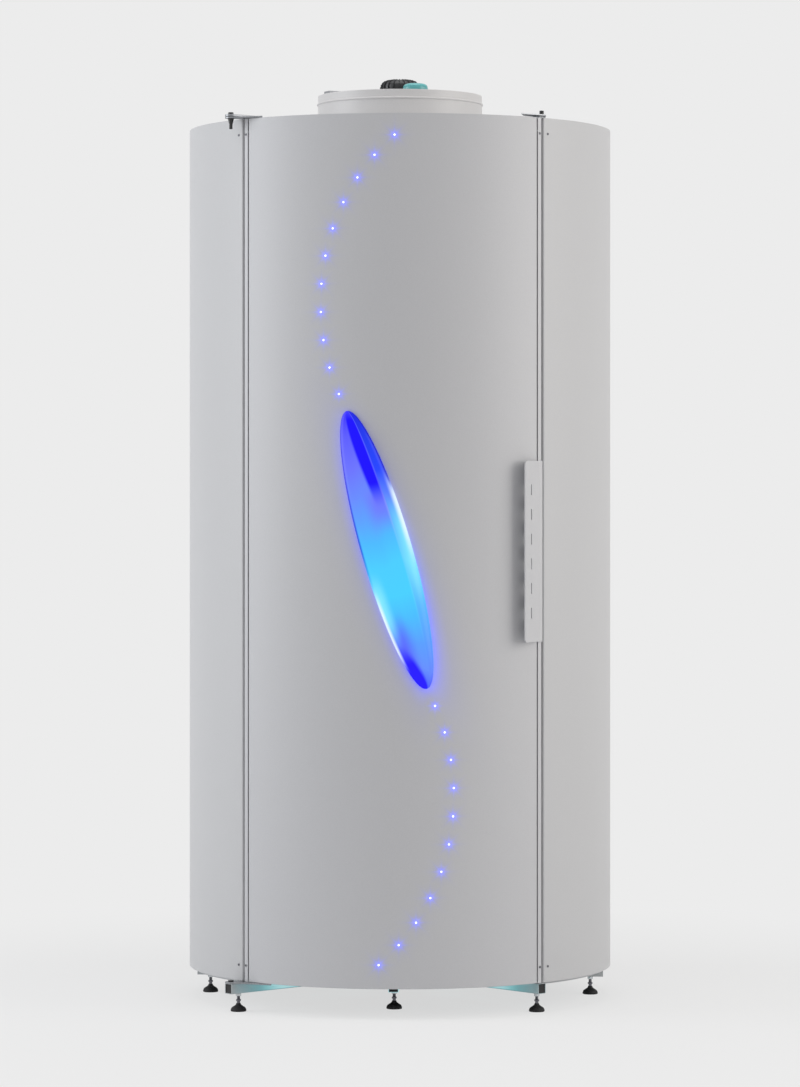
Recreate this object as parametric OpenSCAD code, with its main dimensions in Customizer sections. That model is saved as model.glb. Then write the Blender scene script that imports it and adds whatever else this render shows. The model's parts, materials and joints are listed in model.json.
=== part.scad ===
// Stand-up tanning booth: a round cabin of upright lamps with a curved, lit door hung on the left.
// Millimetres, +Z up. The front of the booth faces -Y and the origin is on the floor, on its axis.
// Angles round the booth are counted from the middle of the door, positive towards +X.

/* [Shell] */
// Outer radius of the round shell
shell_r = 525; // [500:1:560]
// Height of the shell panels and of the door
panel_h = 2077; // [1900:1:2300]
// Thickness of the panels' sheet
sheet_t = 2; // [1.2:0.1:2.5]
// Half of the angle that the door takes up, in degrees
door_half = 43; // [41.5:0.1:43.2]
// Width of the open seam between the door and its neighbours
door_gap = 6; // [4:0.5:7]
// Depth of the folded edge behind each panel's upright sides
edge_depth = 13; // [10:1:15]
// Distance of the edge screws from a panel's top and bottom
screw_inset = 38; // [25:1:80]
// Width of the open seam between two fixed panels
rear_seam = 3; // [1:0.5:6]

/* [Base and feet] */
// Height of the base frame's underside above the floor
foot_h = 44; // [38:1:60]
// Side of the square steel tubes
tube = 25; // [22:1:30]
// Wall of the square tubes
tube_wall = 1.5; // [1:0.1:2.5]
// Space between the base frame and the lower edge of the panels
panel_gap = 5; // [4.9:0.1:8]
// Length of the short front spoke
spoke_front = 351; // [280:1:400]
// Distance from the shell's outer face in to the end of the spoke under the door's free side
latch_inset = 18; // [5:1:55]
// Distance from the shell's outer face in to the ends of the side and rear spokes
side_inset = 18; // [10:1:55]
// Diameter of a foot's pad
pad_d = 38; // [30:1:50]
// Diameter of a foot's screw
foot_screw_d = 8; // [6:1:10]
// Thickness of the floor board
deck_t = 18; // [12:1:24]
// Thickness of the floor mat
mat_t = 4; // [2:0.5:8]

/* [Cabin] */
// Distance of the clear shields' inner face inside the shell's outer face
shield_gap = 130; // [125:1:145]
// Thickness of the clear shields
shield_t = 3; // [2:0.5:4]
// Diameter of a lamp
lamp_d = 38; // [26:1:38]
// Space between the shields and the lamps
lamp_clear = 8; // [5:0.5:13]
// Number of lamps in each quarter
lamps_per_side = 12; // [6:1:12]
// Angle from the first lamp of a quarter to its last, in degrees
lamp_sweep = 76; // [70:1:76]
// Length of the metal cap on each end of a lamp
lamp_cap = 26; // [15:1:30]
// Height of a lampholder on the fixed quarters
holder_h = 28; // [22:1:32]
// Space between the lamps and the reflector behind them
reflector_clear = 11; // [6:0.5:14]
// Thickness of the reflector
reflector_t = 1; // [0.8:0.1:1.5]
// Thickness of the ring plates and of the roof
plate_t = 3; // [2:0.5:4]
// Height of the control pod's middle above the floor
pod_z = 1250; // [900:10:1400]
// Diameter of the grab rails
rail_d = 20; // [16:1:25]
// Length of the grab rails
rail_len = 420; // [300:10:600]
// Height of the lower end of the grab rails above the floor
rail_z = 900; // [700:10:1100]
// Distance of a grab rail's middle from the post behind it
rail_off = 55; // [40:1:70]

/* [Extractor fan] */
// Outer radius of the round outlet on the roof
collar_r = 205; // [190:1:215]
// Height of the outlet above the panels
collar_h = 89; // [80:1:130]
// Wall of the outlet
collar_t = 2; // [1:0.5:3]
// Distance from the outlet's rim down to its raised bead
bead_drop = 21; // [15:1:30]
// Radius of the raised bead
bead_r = 3; // [2:0.5:5]
// Outer diameter of the fan motor
motor_d = 102; // [90:1:110]
// Height of the motor above the outlet's rim
motor_rise = 43; // [35:1:60]
// Clearance between the blade tips and the outlet
tip_clearance = 8; // [4:1:15]
// Width of the flat bar across the outlet
bar_w = 30; // [20:1:40]
// Thickness of the flat bar
bar_t = 5; // [3:0.5:8]

/* [Door lights] */
// Length of the lit lens
lens_len = 686; // [500:1:720]
// Width of the lit lens
lens_w = 120; // [80:1:130]
// Height that the lens stands out from the door
lens_rise = 22; // [12:1:30]
// Lean of the lens from upright, in degrees, its top towards the hinge
lens_tilt = 16.2; // [0:0.1:25]
// Distance of the light pattern's middle from the door's middle, towards the hinge
light_shift = 8; // [-20:1:20]
// Number of small lights in each arc
star_count = 11; // [1:1:11]
// Radius of the arcs of small lights
star_arc_r = 531; // [500:1:560]
// Diameter of a small light
star_d = 5; // [3:0.5:8]

/* [Handle and hinges] */
// Length of the door handle
handle_len = 434; // [250:1:500]
// Width of the handle's grip
grip_w = 69; // [50:1:72]
// Outward lean of the grip from its flange, in degrees
grip_lean = 20; // [15:1:30]
// Thickness of the handle's sheet
handle_t = 3; // [2:0.5:4]
// Distance of the hinge pins' axis outside the shell
hinge_out = 26.5; // [25:0.5:31]
// Diameter of the hinge pins
hinge_pin_d = 8; // [6:1:12]
// Thickness of the hinge arms
arm_t = 4; // [3:0.5:5]

/* [Hidden] */

// Facets on large rings, on round bars and on small round pieces
big_fn = 180;
mid_fn = 64;
small_fn = 32;
// Gap at which one piece is seated on another, and the radial clearance of a running fit
seat = 0.3;
run = 0.08;

// Degrees round the shell for one millimetre along it
deg = 180 / (PI * shell_r);
// Radii of the shields, the lamps' circle, the reflectors and the hinge pins
shield_r = shell_r - shield_gap;
lamp_ring_r = shield_r + shield_t + lamp_clear + lamp_d / 2;
reflector_r = lamp_ring_r + lamp_d / 2 + reflector_clear;
hinge_r = shell_r + hinge_out;
// Heights of the base, the panels and the roof
base_top = foot_h + tube;
panel_z0 = base_top + panel_gap;
panel_z1 = panel_z0 + panel_h;
ring_top = base_top + plate_t;
roof_z = panel_z1 - plate_t - 2;
frame_z = roof_z - tube;
top_ring_z = frame_z - plate_t;
rim_z = panel_z1 + collar_h;
deck_r = shield_r - 9;
deck_top = base_top + deck_t;
inner_r = shell_r - sheet_t;
ring_r = shell_r - 10;
tray_in = shield_r - 3;
// Radius of the folds behind the panels' edges, and of the top ring that fits inside them
fold_r = inner_r - edge_depth;
top_r = fold_r - 0.6;

// Corner posts: a square tube on this radius, its space to the door's edge and its angles
post_r = fold_r - seat - tube / 2;
post_gap = 7.46;
front_post = door_half + (tube / 2 + post_gap) / post_r * 180 / PI;
rear_post = 135;
POSTS = [-front_post, front_post, rear_post, -rear_post];

// Angles of the quarters' edges and of the quarters' middles
side_edge = door_half + door_gap * deg;
side_end = rear_post - rear_seam / 2 * deg;
rear_start = rear_post + rear_seam / 2 * deg;
QUARTERS = [-90, 90, 180];
// Width of the folds behind the panels' edges, and the screws' distances from the front and rear edges
fold_w = 24;
front_inset = 14;
rear_inset = 6.5;
// Screws: radius, how far the head reaches past it, the head's height and the depth of the holes
screw_r = 2;
head_edge = 1;
head_h = 1.2;
screw_hole = 40;
// The door's strips: width, and the seam between a strip and the door's skin
stile_w = 12;
stile_gap = 2.3;
skin_half = door_half - (stile_w + stile_gap) * deg;
stile_edge = door_half - stile_w * deg;

// Behind a post's tube: a web and two tees that hold the edges of the shields
tee_w = 24;
tee_t = 3;
web_t = 3;
slot_gap = 0.7;
shield_edge = 180 / (PI * shield_r) * (web_t / 2 + 2);

// Lengths of the long spokes, and distances from their ends to their feet
spoke_latch = shell_r - latch_inset;
spoke_side = shell_r - side_inset;
spoke_hinge = hinge_r + 8;
front_foot = 42;
latch_foot = 18;
side_foot = 32;
hinge_foot = 32;
// Depth of the end caps: the usual one, the latch spoke's and the hinge spoke's
cap_depth = 10;
latch_cap = 8;
hinge_cap = 2;
// Spokes of the base frame: angle, length, radius of the foot and depth of the end cap
SPOKES = concat(
    [[0, spoke_front, spoke_front - front_foot, cap_depth],
    [45, spoke_latch, spoke_latch - latch_foot, latch_cap]],
    [for (a = [90:45:270]) [a, spoke_side, spoke_side - side_foot, cap_depth]],
    [[315, spoke_hinge, spoke_hinge - hinge_foot, hinge_cap]]);
hub_r = 75;
cap_in = tube - 2 * tube_wall;
boss_r = foot_screw_d / 2 + 3;

// Feet
pad_h = 20;
neck_h = 28;
nut_h = 7;
nut_af = 13;
screw_top = base_top - tube_wall - 1;

// Lamps
lamp_z0 = ring_top + holder_h;
lamp_z1 = top_ring_z - holder_h;
lamp_step = lamp_sweep / (lamps_per_side - 1);
holder_w = 24;
holder_depth = 30;

// Door trays
arm_z0 = base_top + seat;
tray_z0 = arm_z0 + arm_t;
tray_z1 = tray_z0 + plate_t;
cap_z1 = panel_z1 + 0.4;
stile_t = 2;
door_in = door_half - 0.8;

// Supply box and gland at the back, the gland as deep as the lens in front, so that the axis stays central
gland_z = 200;
gland_r = 12.5;
cable_r = 6.5;
box_w = 120;
box_h = 90;
box_out = inner_r - 21;
nut_len = 8;

// Ballasts on the back of the reflectors
ballast_w = 50;
ballast_d = 40;
ballast_h = 190;
ballast_a = 22;
ballast_z = 420;
ballast_pitch = 400;

// Motor's terminal box: angle, radius, height and space to the motor
term_a = 29;
term_r = 31.5;
term_h = 21;
term_gap = 3.5;

// Fan
motor_r = motor_d / 2;
flange_r = motor_r + 9;
flange_z = rim_z - 5;
bar_a = -60;
hub_fan_r = 50;
fan_z = panel_z1 + 14;
fan_h = 34;
blade_r = collar_r - collar_t - tip_clearance;
blade_count = 7;

// Light box behind the lens: its edge past the lens, its wall, and its depth from the reflector
light_edge = 6;
light_wall = 2;
light_back = 30;
// Driver of the small lights
driver_a = 20;
driver_w = 60;
driver_d = 30;
driver_h = 200;
driver_z = 400;

// Light pattern on the door
light_z = (panel_z0 + panel_z1) / 2 + 2.5;
star_dx = 370;
star_first = 48.6;
star_step = 7.26;
star_margin = 54.2;
star_dz = panel_h / 2 - star_margin - star_arc_r * sin(star_first);
// Rings and sides of the lens' surface, and the height of its rim
lens_rings = 8;
lens_seg = 48;
lens_rim = 1.5;

// Hinge
hinge_a = -45;
eye_r = 14;
bracket_z = cap_z1 + arm_t + 1;
bracket_t = 5;
bracket_len = 80;
bracket_foot = 36;
cone_h = 12;
pin_depth = 18;
pin_tip = 25;
// Hinge arms: places along the front and back edge, their spread, and the tips' angles and size
arm_front = 34;
arm_back = 50;
arm_flare = 3;
tip_back = [-4, 22];
upper_tip = -36.5;
lower_tip = -34;

// Plate over the door's free corner: its angles, edges and leg, and the switch on it
keeper_t = 3;
keeper_a0 = 36;
keeper_a1 = 44;
keeper_end = 46.2;
keeper_in = 35;
keeper_leg = [20, 24];
switch_r = 5;
switch_h = 9.5;

// Handle: round corners, flange, and slots
round_r = 11;
flange_w = stile_w - 1;
slot_count = 6;
slot_w = 5;
slot_len = 27;

// Direction of the pod: the post at the right rear, with the parts on its inner face
pod_a = rear_post;
pod_w = 70;
pod_h = 130;
pod_t = 30;
tee_r = shield_r - slot_gap - tee_t;
button_pitch = 38;
knob_r = 15;
shaft_r = 4;
// Buttons: radius, the lengths outside and inside the pod, travel, and depth of the holes in the pod
button_r = 11;
button_out = 7;
button_in = 9;
button_travel = 4;
pod_hole = button_in + button_travel + 3;

// The point at angle a on a circle of radius r
function on_circle(a, r) = [r * sin(a), -r * cos(a)];

module ring_arc(r0, r1, z0, h, a0, a1)
    rotate([0, 0, a0 - 90])
        rotate_extrude(angle = a1 - a0, $fn = big_fn)
            translate([r0, z0]) square([r1 - r0, h]);

module ring(r0, r1, z0, h)
    rotate_extrude($fn = big_fn) translate([r0, z0]) square([r1 - r0, h]);

// Places children at angle a, radius r and height z, with local -Y pointing away from the axis
module at(a, r = 0, z = 0)
    rotate([0, 0, a]) translate([0, -r, z]) children();

module box(w, d, h) translate([-w / 2, -d / 2, 0]) cube([w, d, h]);

// A round bar of radius r that starts at local y = y0 and runs inwards for length h
module radial_bar(r, h, y0 = 0, fn = small_fn)
    translate([0, y0, 0]) rotate([-90, 0, 0]) cylinder(r = r, h = h, $fn = fn);

module spoke(len, half, z0, h) translate([-half, -len, z0]) cube([2 * half, len, h]);

module base_frame() color("lightgray") difference() {
    union() {
        cylinder_at(hub_r, foot_h, tube);
        for (s = SPOKES) at(s[0]) difference() {
            spoke(s[1], tube / 2, foot_h, tube);
            spoke(s[1] + 1, cap_in / 2, foot_h + tube_wall, cap_in);
            translate([0, 0, foot_h - 1]) cylinder(r = hub_r - 5, h = tube + 2, $fn = mid_fn);
        }
        for (s = SPOKES) at(s[0], s[2], foot_h) cylinder(r = boss_r, h = tube, $fn = small_fn);
        at(hinge_a, hinge_r, foot_h + 0.5)
            cylinder(d = hinge_pin_d + 3, h = tube - 0.5, $fn = small_fn);
    }
    for (s = SPOKES) at(s[0], s[2], foot_h - 1)
        cylinder(r = foot_screw_d / 2 + run, h = tube - tube_wall + 1, $fn = small_fn);
    at(hinge_a, hinge_r, base_top - pin_depth)
        cylinder(r = hinge_pin_d / 2, h = pin_depth + 1, $fn = small_fn);
}

module cylinder_at(r, z, h) translate([0, 0, z]) cylinder(r = r, h = h, $fn = mid_fn);

module tube_end_caps() color("black") for (s = SPOKES) at(s[0])
    translate([-cap_in / 2 + 0.1, -s[1], foot_h + tube_wall + 0.1])
        cube([cap_in - 0.2, s[3], cap_in - 0.2]);

module foot(i) at(SPOKES[i][0], SPOKES[i][2]) {
    color("black") rotate_extrude($fn = mid_fn) polygon([
        [0, 0], [pad_d / 2 - 1, 0], [pad_d / 2, 1], [pad_d / 2, 4], [pad_d / 2 - 2, 6.5],
        [7, pad_h - 1], [6, pad_h], [0, pad_h]]);
    color("silver") translate([0, 0, pad_h])
        cylinder(r1 = 6, r2 = foot_screw_d / 2 + 1, h = neck_h - pad_h, $fn = mid_fn);
    color("silver") translate([0, 0, neck_h - 1])
        cylinder(r = foot_screw_d / 2, h = screw_top - neck_h + 1, $fn = small_fn);
}

module foot_lock_nuts() color("silver") for (s = SPOKES) at(s[0], s[2], foot_h - nut_h - seat)
    difference() {
        cylinder(d = nut_af / cos(30), h = nut_h, $fn = 6);
        translate([0, 0, -1]) cylinder(r = foot_screw_d / 2 + run, h = nut_h + 2, $fn = small_fn);
    }

module base_ring() color("lightgray")
    ring_arc(tray_in, ring_r, base_top, plate_t, side_edge + 0.4, 360 - side_edge - 0.4);

module floor_deck() color("dimgray") cylinder_at(deck_r, base_top, deck_t);

module floor_mat() color("darkslategray") cylinder_at(deck_r - 6, deck_top, mat_t);

// One corner post, standing on the base ring and reaching the top ring
module post() {
    post_h = top_ring_z - ring_top;
    web_in = shield_r - slot_gap;
    translate([0, -post_r, ring_top]) difference() {
        box(tube, tube, post_h);
        translate([0, 0, -1]) box(cap_in, cap_in, post_h + 2);
    }
    translate([-web_t / 2, -post_r + tube / 2 - 0.5, ring_top])
        cube([web_t, post_r - tube / 2 + 0.5 - web_in, post_h]);
    translate([0, -web_in + tee_t / 2, ring_top]) box(tee_w, tee_t, post_h);
    translate([0, -shield_r - shield_t - slot_gap - tee_t / 2, ring_top]) box(tee_w, tee_t, post_h);
}

module corner_posts() color("gainsboro") difference() {
    union() for (a = POSTS) at(a) post();
    all_fixings() radial_bar(screw_r + 0.2, screw_hole, -3);
}

// Foam strips that close the seams beside the door, fixed to the front posts
module door_seals() color("black") for (s = [-1, 1]) at(s * front_post, post_r, ring_top) {
    seal_t = post_gap - 1.5;
    translate([-s * (tube + seal_t) / 2, 0, 2]) box(seal_t, tube - 4, top_ring_z - ring_top - 4);
}

// A quarter panel, folded back along both upright edges so that the folds lie on the posts
module quarter_panel(a0, a1, inset0, inset1) difference() {
    fold = fold_w * deg;
    side = sheet_t * deg;
    low = panel_z0 - 1;
    ring_arc(fold_r, shell_r, panel_z0, panel_h, a0, a1);
    ring_arc(fold_r + sheet_t, inner_r, low, panel_h + 2, a0 + side, a1 - side);
    ring_arc(fold_r - 1, inner_r - 1, low, panel_h + 2, a0 + fold, a1 - fold);
    fixings(a0, a1, inset0, inset1) radial_bar(screw_r + 0.2, screw_hole, -3);
}

// Places children at the four corner screws of a panel
module fixings(a0, a1, inset0, inset1)
    for (a = [a0 + inset0 * deg, a1 - inset1 * deg])
        for (z = [panel_z0 + screw_inset, panel_z1 - screw_inset]) at(a, shell_r, z) children();

// Places children at the screws of all three fixed panels
module all_fixings() {
    fixings(-side_end, -side_edge, rear_inset, front_inset) children();
    fixings(side_edge, side_end, front_inset, rear_inset) children();
    fixings(rear_start, 360 - rear_start, rear_inset, rear_inset) children();
}

module left_panel() color("silver") quarter_panel(-side_end, -side_edge, rear_inset, front_inset);

module right_panel() color("silver") quarter_panel(side_edge, side_end, front_inset, rear_inset);

module rear_panel() color("silver") difference() {
    quarter_panel(rear_start, 360 - rear_start, rear_inset, rear_inset);
    at(180, 0, gland_z) radial_bar(gland_r + run, sheet_t + 10, -shell_r - 5, mid_fn);
}

// Each screw goes through the panel and its fold into the front wall of the post
module panel_screws() color("dimgray") all_fixings() union() {
    radial_bar(screw_r + head_edge, head_h, -head_h - seat);
    radial_bar(screw_r, sheet_t + edge_depth + tube_wall + 4, -1);
}

module top_ring() color("lightgray")
    ring_arc(tray_in, top_r, top_ring_z, plate_t, side_edge + 0.4, 360 - side_edge - 0.4);

module top_frame() color("lightgray") difference() {
    union() {
        ring(collar_r + 2, collar_r + 22, frame_z, tube);
        for (a = POSTS) at(a) translate([-tube / 2, seat - top_r, frame_z])
            cube([tube, top_r - seat - collar_r - 10, tube]);
    }
    for (a = POSTS) at(a) translate([-cap_in / 2, -top_r, frame_z + tube_wall])
        cube([cap_in, top_r - collar_r - 24, cap_in]);
}

module roof_plate() color("lightgray") {
    ring(collar_r - collar_t, tray_in - 3, roof_z, plate_t);
    ring_arc(tray_in - 4, fold_r - 1, roof_z, plate_t, side_edge + 0.4,
        360 - side_edge - 0.4);
}

// Round grille in the cabin ceiling, hung below the top frame
module ceiling_grille() color("gainsboro") {
    grille_r = collar_r + 18;
    ring(grille_r - 24, grille_r, frame_z - plate_t - seat, plate_t);
    cylinder_at(24, frame_z - plate_t - seat, plate_t);
    for (r = [50:25:175]) ring(r, r + 6, frame_z - plate_t - seat, plate_t);
    for (a = [0:45:315]) at(a) spoke(grille_r - 12, 4, frame_z - plate_t - seat, plate_t);
}

module fan_collar() color("gainsboro") {
    ring(collar_r - collar_t, collar_r, roof_z + plate_t, rim_z - roof_z - plate_t);
    ring(collar_r - 1, collar_r + 18, roof_z + plate_t, 2);
    rotate_extrude($fn = big_fn) translate([collar_r - 0.5, rim_z - bead_drop]) circle(r = bead_r);
}

// Flat bar across the rim, with a ring in the middle that carries the motor
module fan_bar() color("silver") {
    ring(flange_r - 6, flange_r + 6, rim_z, bar_t);
    for (a = [bar_a, bar_a + 180]) at(a) translate([-bar_w / 2, -collar_r + collar_t / 2, rim_z])
        cube([bar_w, collar_r - collar_t / 2 - flange_r, bar_t]);
}

module fan_motor() color("#2b2b2e") {
    top = rim_z + motor_rise;
    dome_h = 26;
    body_z = fan_z + fan_h + 6;
    cylinder_at(motor_r - 5, body_z, top - dome_h - body_z);
    cylinder_at(flange_r + 4, flange_z, 5 - seat);
    rotate_extrude($fn = mid_fn) polygon(dome_outline(motor_r - 5, top - dome_h - 0.5, dome_h - 3));
    for (a = [0:18:342]) at(a) translate([1.3, 0, 0]) rotate([90, 0, -90])
        linear_extrude(2.6) polygon(dome_outline(motor_r, top - dome_h - 14, dome_h + 14));
}

// Half outline of a dome of radius r and height h that stands on height z
function dome_outline(r, z, h) = concat([[0, z]],
    [for (t = [0:15:90]) [r * sqrt(cos(t)), z + h * sqrt(sin(t))]]);

module motor_terminal_box() color("darkcyan")
    at(term_a, motor_r + term_gap + term_r, rim_z + bar_t)
        rotate_extrude($fn = mid_fn) polygon(dome_outline(term_r, 0, term_h));

module fan_impeller() color("#3a3a3e") {
    cylinder_at(hub_fan_r, fan_z, fan_h);
    for (i = [0:blade_count - 1]) at(i * 360 / blade_count, 0, fan_z + fan_h / 2)
        intersection() {
            translate([0, -hub_fan_r + 4, 0]) rotate([0, 32, 0])
                translate([-28, -blade_r + hub_fan_r - 4, -1]) cube([56, blade_r - hub_fan_r + 12, 2]);
            translate([0, 0, -fan_h / 2]) cylinder(r = blade_r, h = fan_h, $fn = mid_fn);
        }
    cylinder_at(6, fan_z + fan_h - 1, 6.7);
}

// Angles at which the lamps of the quarter round angle mid stand
function lamp_angles(mid) =
    [for (i = [0:lamps_per_side - 1]) mid - lamp_sweep / 2 + i * lamp_step];

module side_reflectors() color("silver") for (m = QUARTERS)
    ring_arc(reflector_r, reflector_r + reflector_t, ring_top + seat,
        top_ring_z - ring_top - 2 * seat, m - lamp_sweep / 2 - 4.5, m + lamp_sweep / 2 + 4.5);

// A cup or tube: outer diameter d, wall w, height h, closed at the bottom to a thickness of floor_t
module sleeve(d, w, h, floor_t = 0) difference() {
    cylinder(d = d, h = h, $fn = small_fn);
    translate([0, 0, floor_t > 0 ? floor_t : -1]) cylinder(d = d - 2 * w, h = h + 2, $fn = small_fn);
}

module lamp_glass(mid) color("lavender")
    for (a = lamp_angles(mid)) at(a, lamp_ring_r, lamp_z0 + lamp_cap)
        sleeve(lamp_d, 1, lamp_z1 - lamp_z0 - 2 * lamp_cap);

module lamp_ends(mid) color("silver") for (a = lamp_angles(mid)) at(a, lamp_ring_r) {
    translate([0, 0, lamp_z0 + seat]) sleeve(lamp_d - 1, 1, lamp_cap - seat, 1.5);
    translate([0, 0, lamp_z1 - seat]) mirror([0, 0, 1]) sleeve(lamp_d - 1, 1, lamp_cap - seat, 1.5);
}

module lamp_sockets(mid, z0) color("white") for (a = lamp_angles(mid)) at(a, lamp_ring_r) {
    translate([0, 0, z0]) box(holder_w, holder_depth, lamp_z0 - z0);
    translate([0, 0, lamp_z1]) box(holder_w, holder_depth, top_ring_z - lamp_z1);
}

module side_lamps() for (m = QUARTERS) lamp_glass(m);

module side_lamp_caps() for (m = QUARTERS) lamp_ends(m);

module side_lampholders() for (m = QUARTERS) lamp_sockets(m, ring_top);

module shield(a0, a1, z0) color("azure")
    ring_arc(shield_r, shield_r + shield_t, z0 + seat, top_ring_z - z0 - 2 * seat, a0, a1);

module left_shield() shield(-rear_post + shield_edge, -front_post - shield_edge, ring_top);

module right_shield() shield(front_post + shield_edge, rear_post - shield_edge, ring_top);

module rear_shield() shield(rear_post + shield_edge, 360 - rear_post - shield_edge, ring_top);

// Ballasts stand on the back of the reflectors, two columns in each fixed quarter
module ballasts() color("dimgray")
    for (m = QUARTERS) for (a = [-ballast_a, ballast_a]) for (row = [0:3])
        at(m + a, reflector_r + reflector_t + seat + ballast_d / 2, ballast_z + row * ballast_pitch)
            box(ballast_w, ballast_d, ballast_h);

module terminal_box() color("gray") at(180, 0, gland_z) difference() {
    translate([-box_w / 2, -box_out, -box_h / 2])
        cube([box_w, box_out - reflector_r - reflector_t - seat, box_h]);
    radial_bar(cable_r + 1, 30, -box_out - 1, mid_fn);
}

// Supply entry: a threaded gland through the rear panel, with its nut and dome outside
module cable_gland() color("black") at(180, 0, gland_z) difference() {
    union() {
        radial_bar(gland_r, shell_r + 3 - box_out - seat, -shell_r - 3, mid_fn);
        radial_bar(gland_r + 4.5, nut_len, -shell_r - nut_len - seat, 6);
        radial_bar(gland_r + 2.5, lens_rise - nut_len, -shell_r - lens_rise, mid_fn);
    }
    radial_bar(cable_r, shell_r + 40 - box_out, -shell_r - 30, mid_fn);
}

module control_pod() color("white") at(pod_a, 0, pod_z) difference() {
    translate([-pod_w / 2, -tee_r + seat, -pod_h / 2]) cube([pod_w, pod_t, pod_h]);
    for (z = [button_pitch, 0]) translate([0, 0, z])
        radial_bar(button_r + 0.3, pod_hole + 4, -tee_r + seat + pod_t - pod_hole, mid_fn);
    translate([0, 0, -button_pitch])
        radial_bar(shaft_r + run, pod_hole + 4, -tee_r + seat + pod_t - pod_hole, mid_fn);
}

module button(z) at(pod_a, 0, pod_z + z)
    radial_bar(button_r, button_out + button_in, -tee_r + seat + pod_t - button_in, mid_fn);

module start_button() color("green") button(button_pitch);

module stop_button() color("red") button(0);

module fan_knob() color("black") at(pod_a, 0, pod_z - button_pitch) {
    face = -tee_r + seat + pod_t;
    radial_bar(shaft_r, pod_hole, face - pod_hole + 2, mid_fn);
    radial_bar(knob_r, 14, face + 0.5, mid_fn);
    translate([-1.5, face + 14, 0]) cube([3, 2, knob_r - 2]);
}

// Grab rails on the inner faces of the front posts
module grab_rails() color("silver") for (s = [-1, 1]) at(s * front_post) {
    face = -tee_r + seat;
    translate([0, face + rail_off, rail_z]) cylinder(d = rail_d, h = rail_len, $fn = mid_fn);
    for (z = [0, rail_len]) translate([0, 0, rail_z + z]) {
        radial_bar(rail_d / 2, rail_off, face, mid_fn);
        translate([0, face + rail_off, 0]) sphere(d = rail_d, $fn = mid_fn);
        radial_bar(rail_d / 2 + 6, 4, face, mid_fn);
    }
}

// Upper hinge: a bracket from the roof over the left post, out to the pin
module top_hinge_bracket() color("silver") at(hinge_a, 0, 0) difference() {
    union() {
        translate([-eye_r, -hinge_r, bracket_z]) cube([2 * eye_r, bracket_len, bracket_t]);
        translate([0, -hinge_r, bracket_z]) cylinder(r = eye_r, h = bracket_t, $fn = mid_fn);
        translate([-eye_r, -hinge_r + bracket_len - bracket_foot, roof_z + plate_t])
            cube([2 * eye_r, bracket_foot, bracket_z - roof_z - plate_t + 1]);
    }
    translate([0, -hinge_r, bracket_z - 1])
        cylinder(d = hinge_pin_d, h = bracket_t + 2, $fn = mid_fn);
}

module hinge_pins() color("black") at(hinge_a, hinge_r, 0) {
    translate([0, 0, bracket_z + bracket_t]) cylinder(r = 6.5, h = 5, $fn = mid_fn);
    translate([0, 0, cap_z1 - pin_tip])
        cylinder(d = hinge_pin_d, h = bracket_z + bracket_t + 1 - cap_z1 + pin_tip, $fn = mid_fn);
    translate([0, 0, cap_z1 - seat - cone_h]) cylinder(r1 = 4.5, r2 = 7.5, h = cone_h, $fn = mid_fn);
    translate([0, 0, base_top - pin_depth])
        cylinder(d = hinge_pin_d, h = pin_depth + arm_t + 2 * seat + 0.5, $fn = mid_fn);
    translate([0, 0, arm_z0 + arm_t + seat]) cylinder(r = 7, h = 3, $fn = mid_fn);
}

// Plate over the door's free top corner, with a round door switch on it
module door_keeper() color("silver") {
    translate([0, 0, bracket_z]) linear_extrude(keeper_t) polygon(concat(
        [for (a = [keeper_a0:1:keeper_a1]) on_circle(a, shell_r + 1)],
        [on_circle(keeper_end, fold_r), on_circle(keeper_end, post_r - keeper_leg[1] / 2),
            on_circle(keeper_a0 + 4, shell_r - keeper_in)]));
    at(front_post - 0.3, post_r, roof_z + plate_t)
        box(keeper_leg[0], keeper_leg[1], bracket_z - roof_z - plate_t + 1);
    color("dimgray") at(keeper_a1, shell_r - 2 * switch_r, bracket_z + keeper_t - 0.5)
        cylinder(r = switch_r, h = switch_h + 0.5, $fn = mid_fn);
}

// Outline of the lens seen from the front, drawn larger by grow
function lens_outline(grow) = [for (t = [0:7.5:352.5])
    let (w = (lens_w / 2 + grow) * cos(t), l = (lens_len / 2 + grow) * sin(t))
    [-light_shift + w * cos(lens_tilt) - l * sin(lens_tilt),
        light_z + w * sin(lens_tilt) + l * cos(lens_tilt)]];

// The small lights: places along an arc above the lens, and the same turned half round below it
function star_turn(i) = star_first - i * star_step;
function star_side(i) = star_dx - star_arc_r * cos(star_turn(i));
function star_up(i) = star_dz + star_arc_r * sin(star_turn(i));

module each_star() for (i = [0:star_count - 1]) for (s = [-1, 1])
    at((-light_shift + s * star_side(i)) * deg, shell_r, light_z + s * star_up(i)) children();

module door_skin() color("silver") difference() {
    ring_arc(inner_r, shell_r, panel_z0, panel_h, -skin_half, skin_half);
    each_star() radial_bar(star_d / 2 + 0.2, 8, -3);
    translate([0, -shell_r + 60, 0]) rotate([90, 0, 0]) linear_extrude(80) polygon(lens_outline(-14));
}

// One upright edge of the door: the strip that shows, and the web that closes the door's side
module stile(s) {
    if (s > 0) ring_arc(shell_r - stile_t, shell_r, panel_z0, panel_h, stile_edge, door_half);
    else ring_arc(shell_r - stile_t, shell_r, panel_z0, panel_h, -door_half, -stile_edge);
    at(s * door_half) translate([s > 0 ? -stile_t : 0, -shell_r + 0.4, tray_z0])
        cube([stile_t, shell_r - shield_r - 5, cap_z1 - tray_z0 - plate_t + 0.4]);
}

// Places children at the screws that hold the door's strips
module door_fixings() for (s = [-1, 1]) for (z = [panel_z0 + screw_inset, panel_z1 - screw_inset])
    at(s * (stile_edge + door_half) / 2, shell_r, z) children();

module door_stiles() color("gainsboro") difference() {
    union() for (s = [-1, 1]) stile(s);
    door_fixings() radial_bar(screw_r + 0.2, 12, -3);
}

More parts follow.
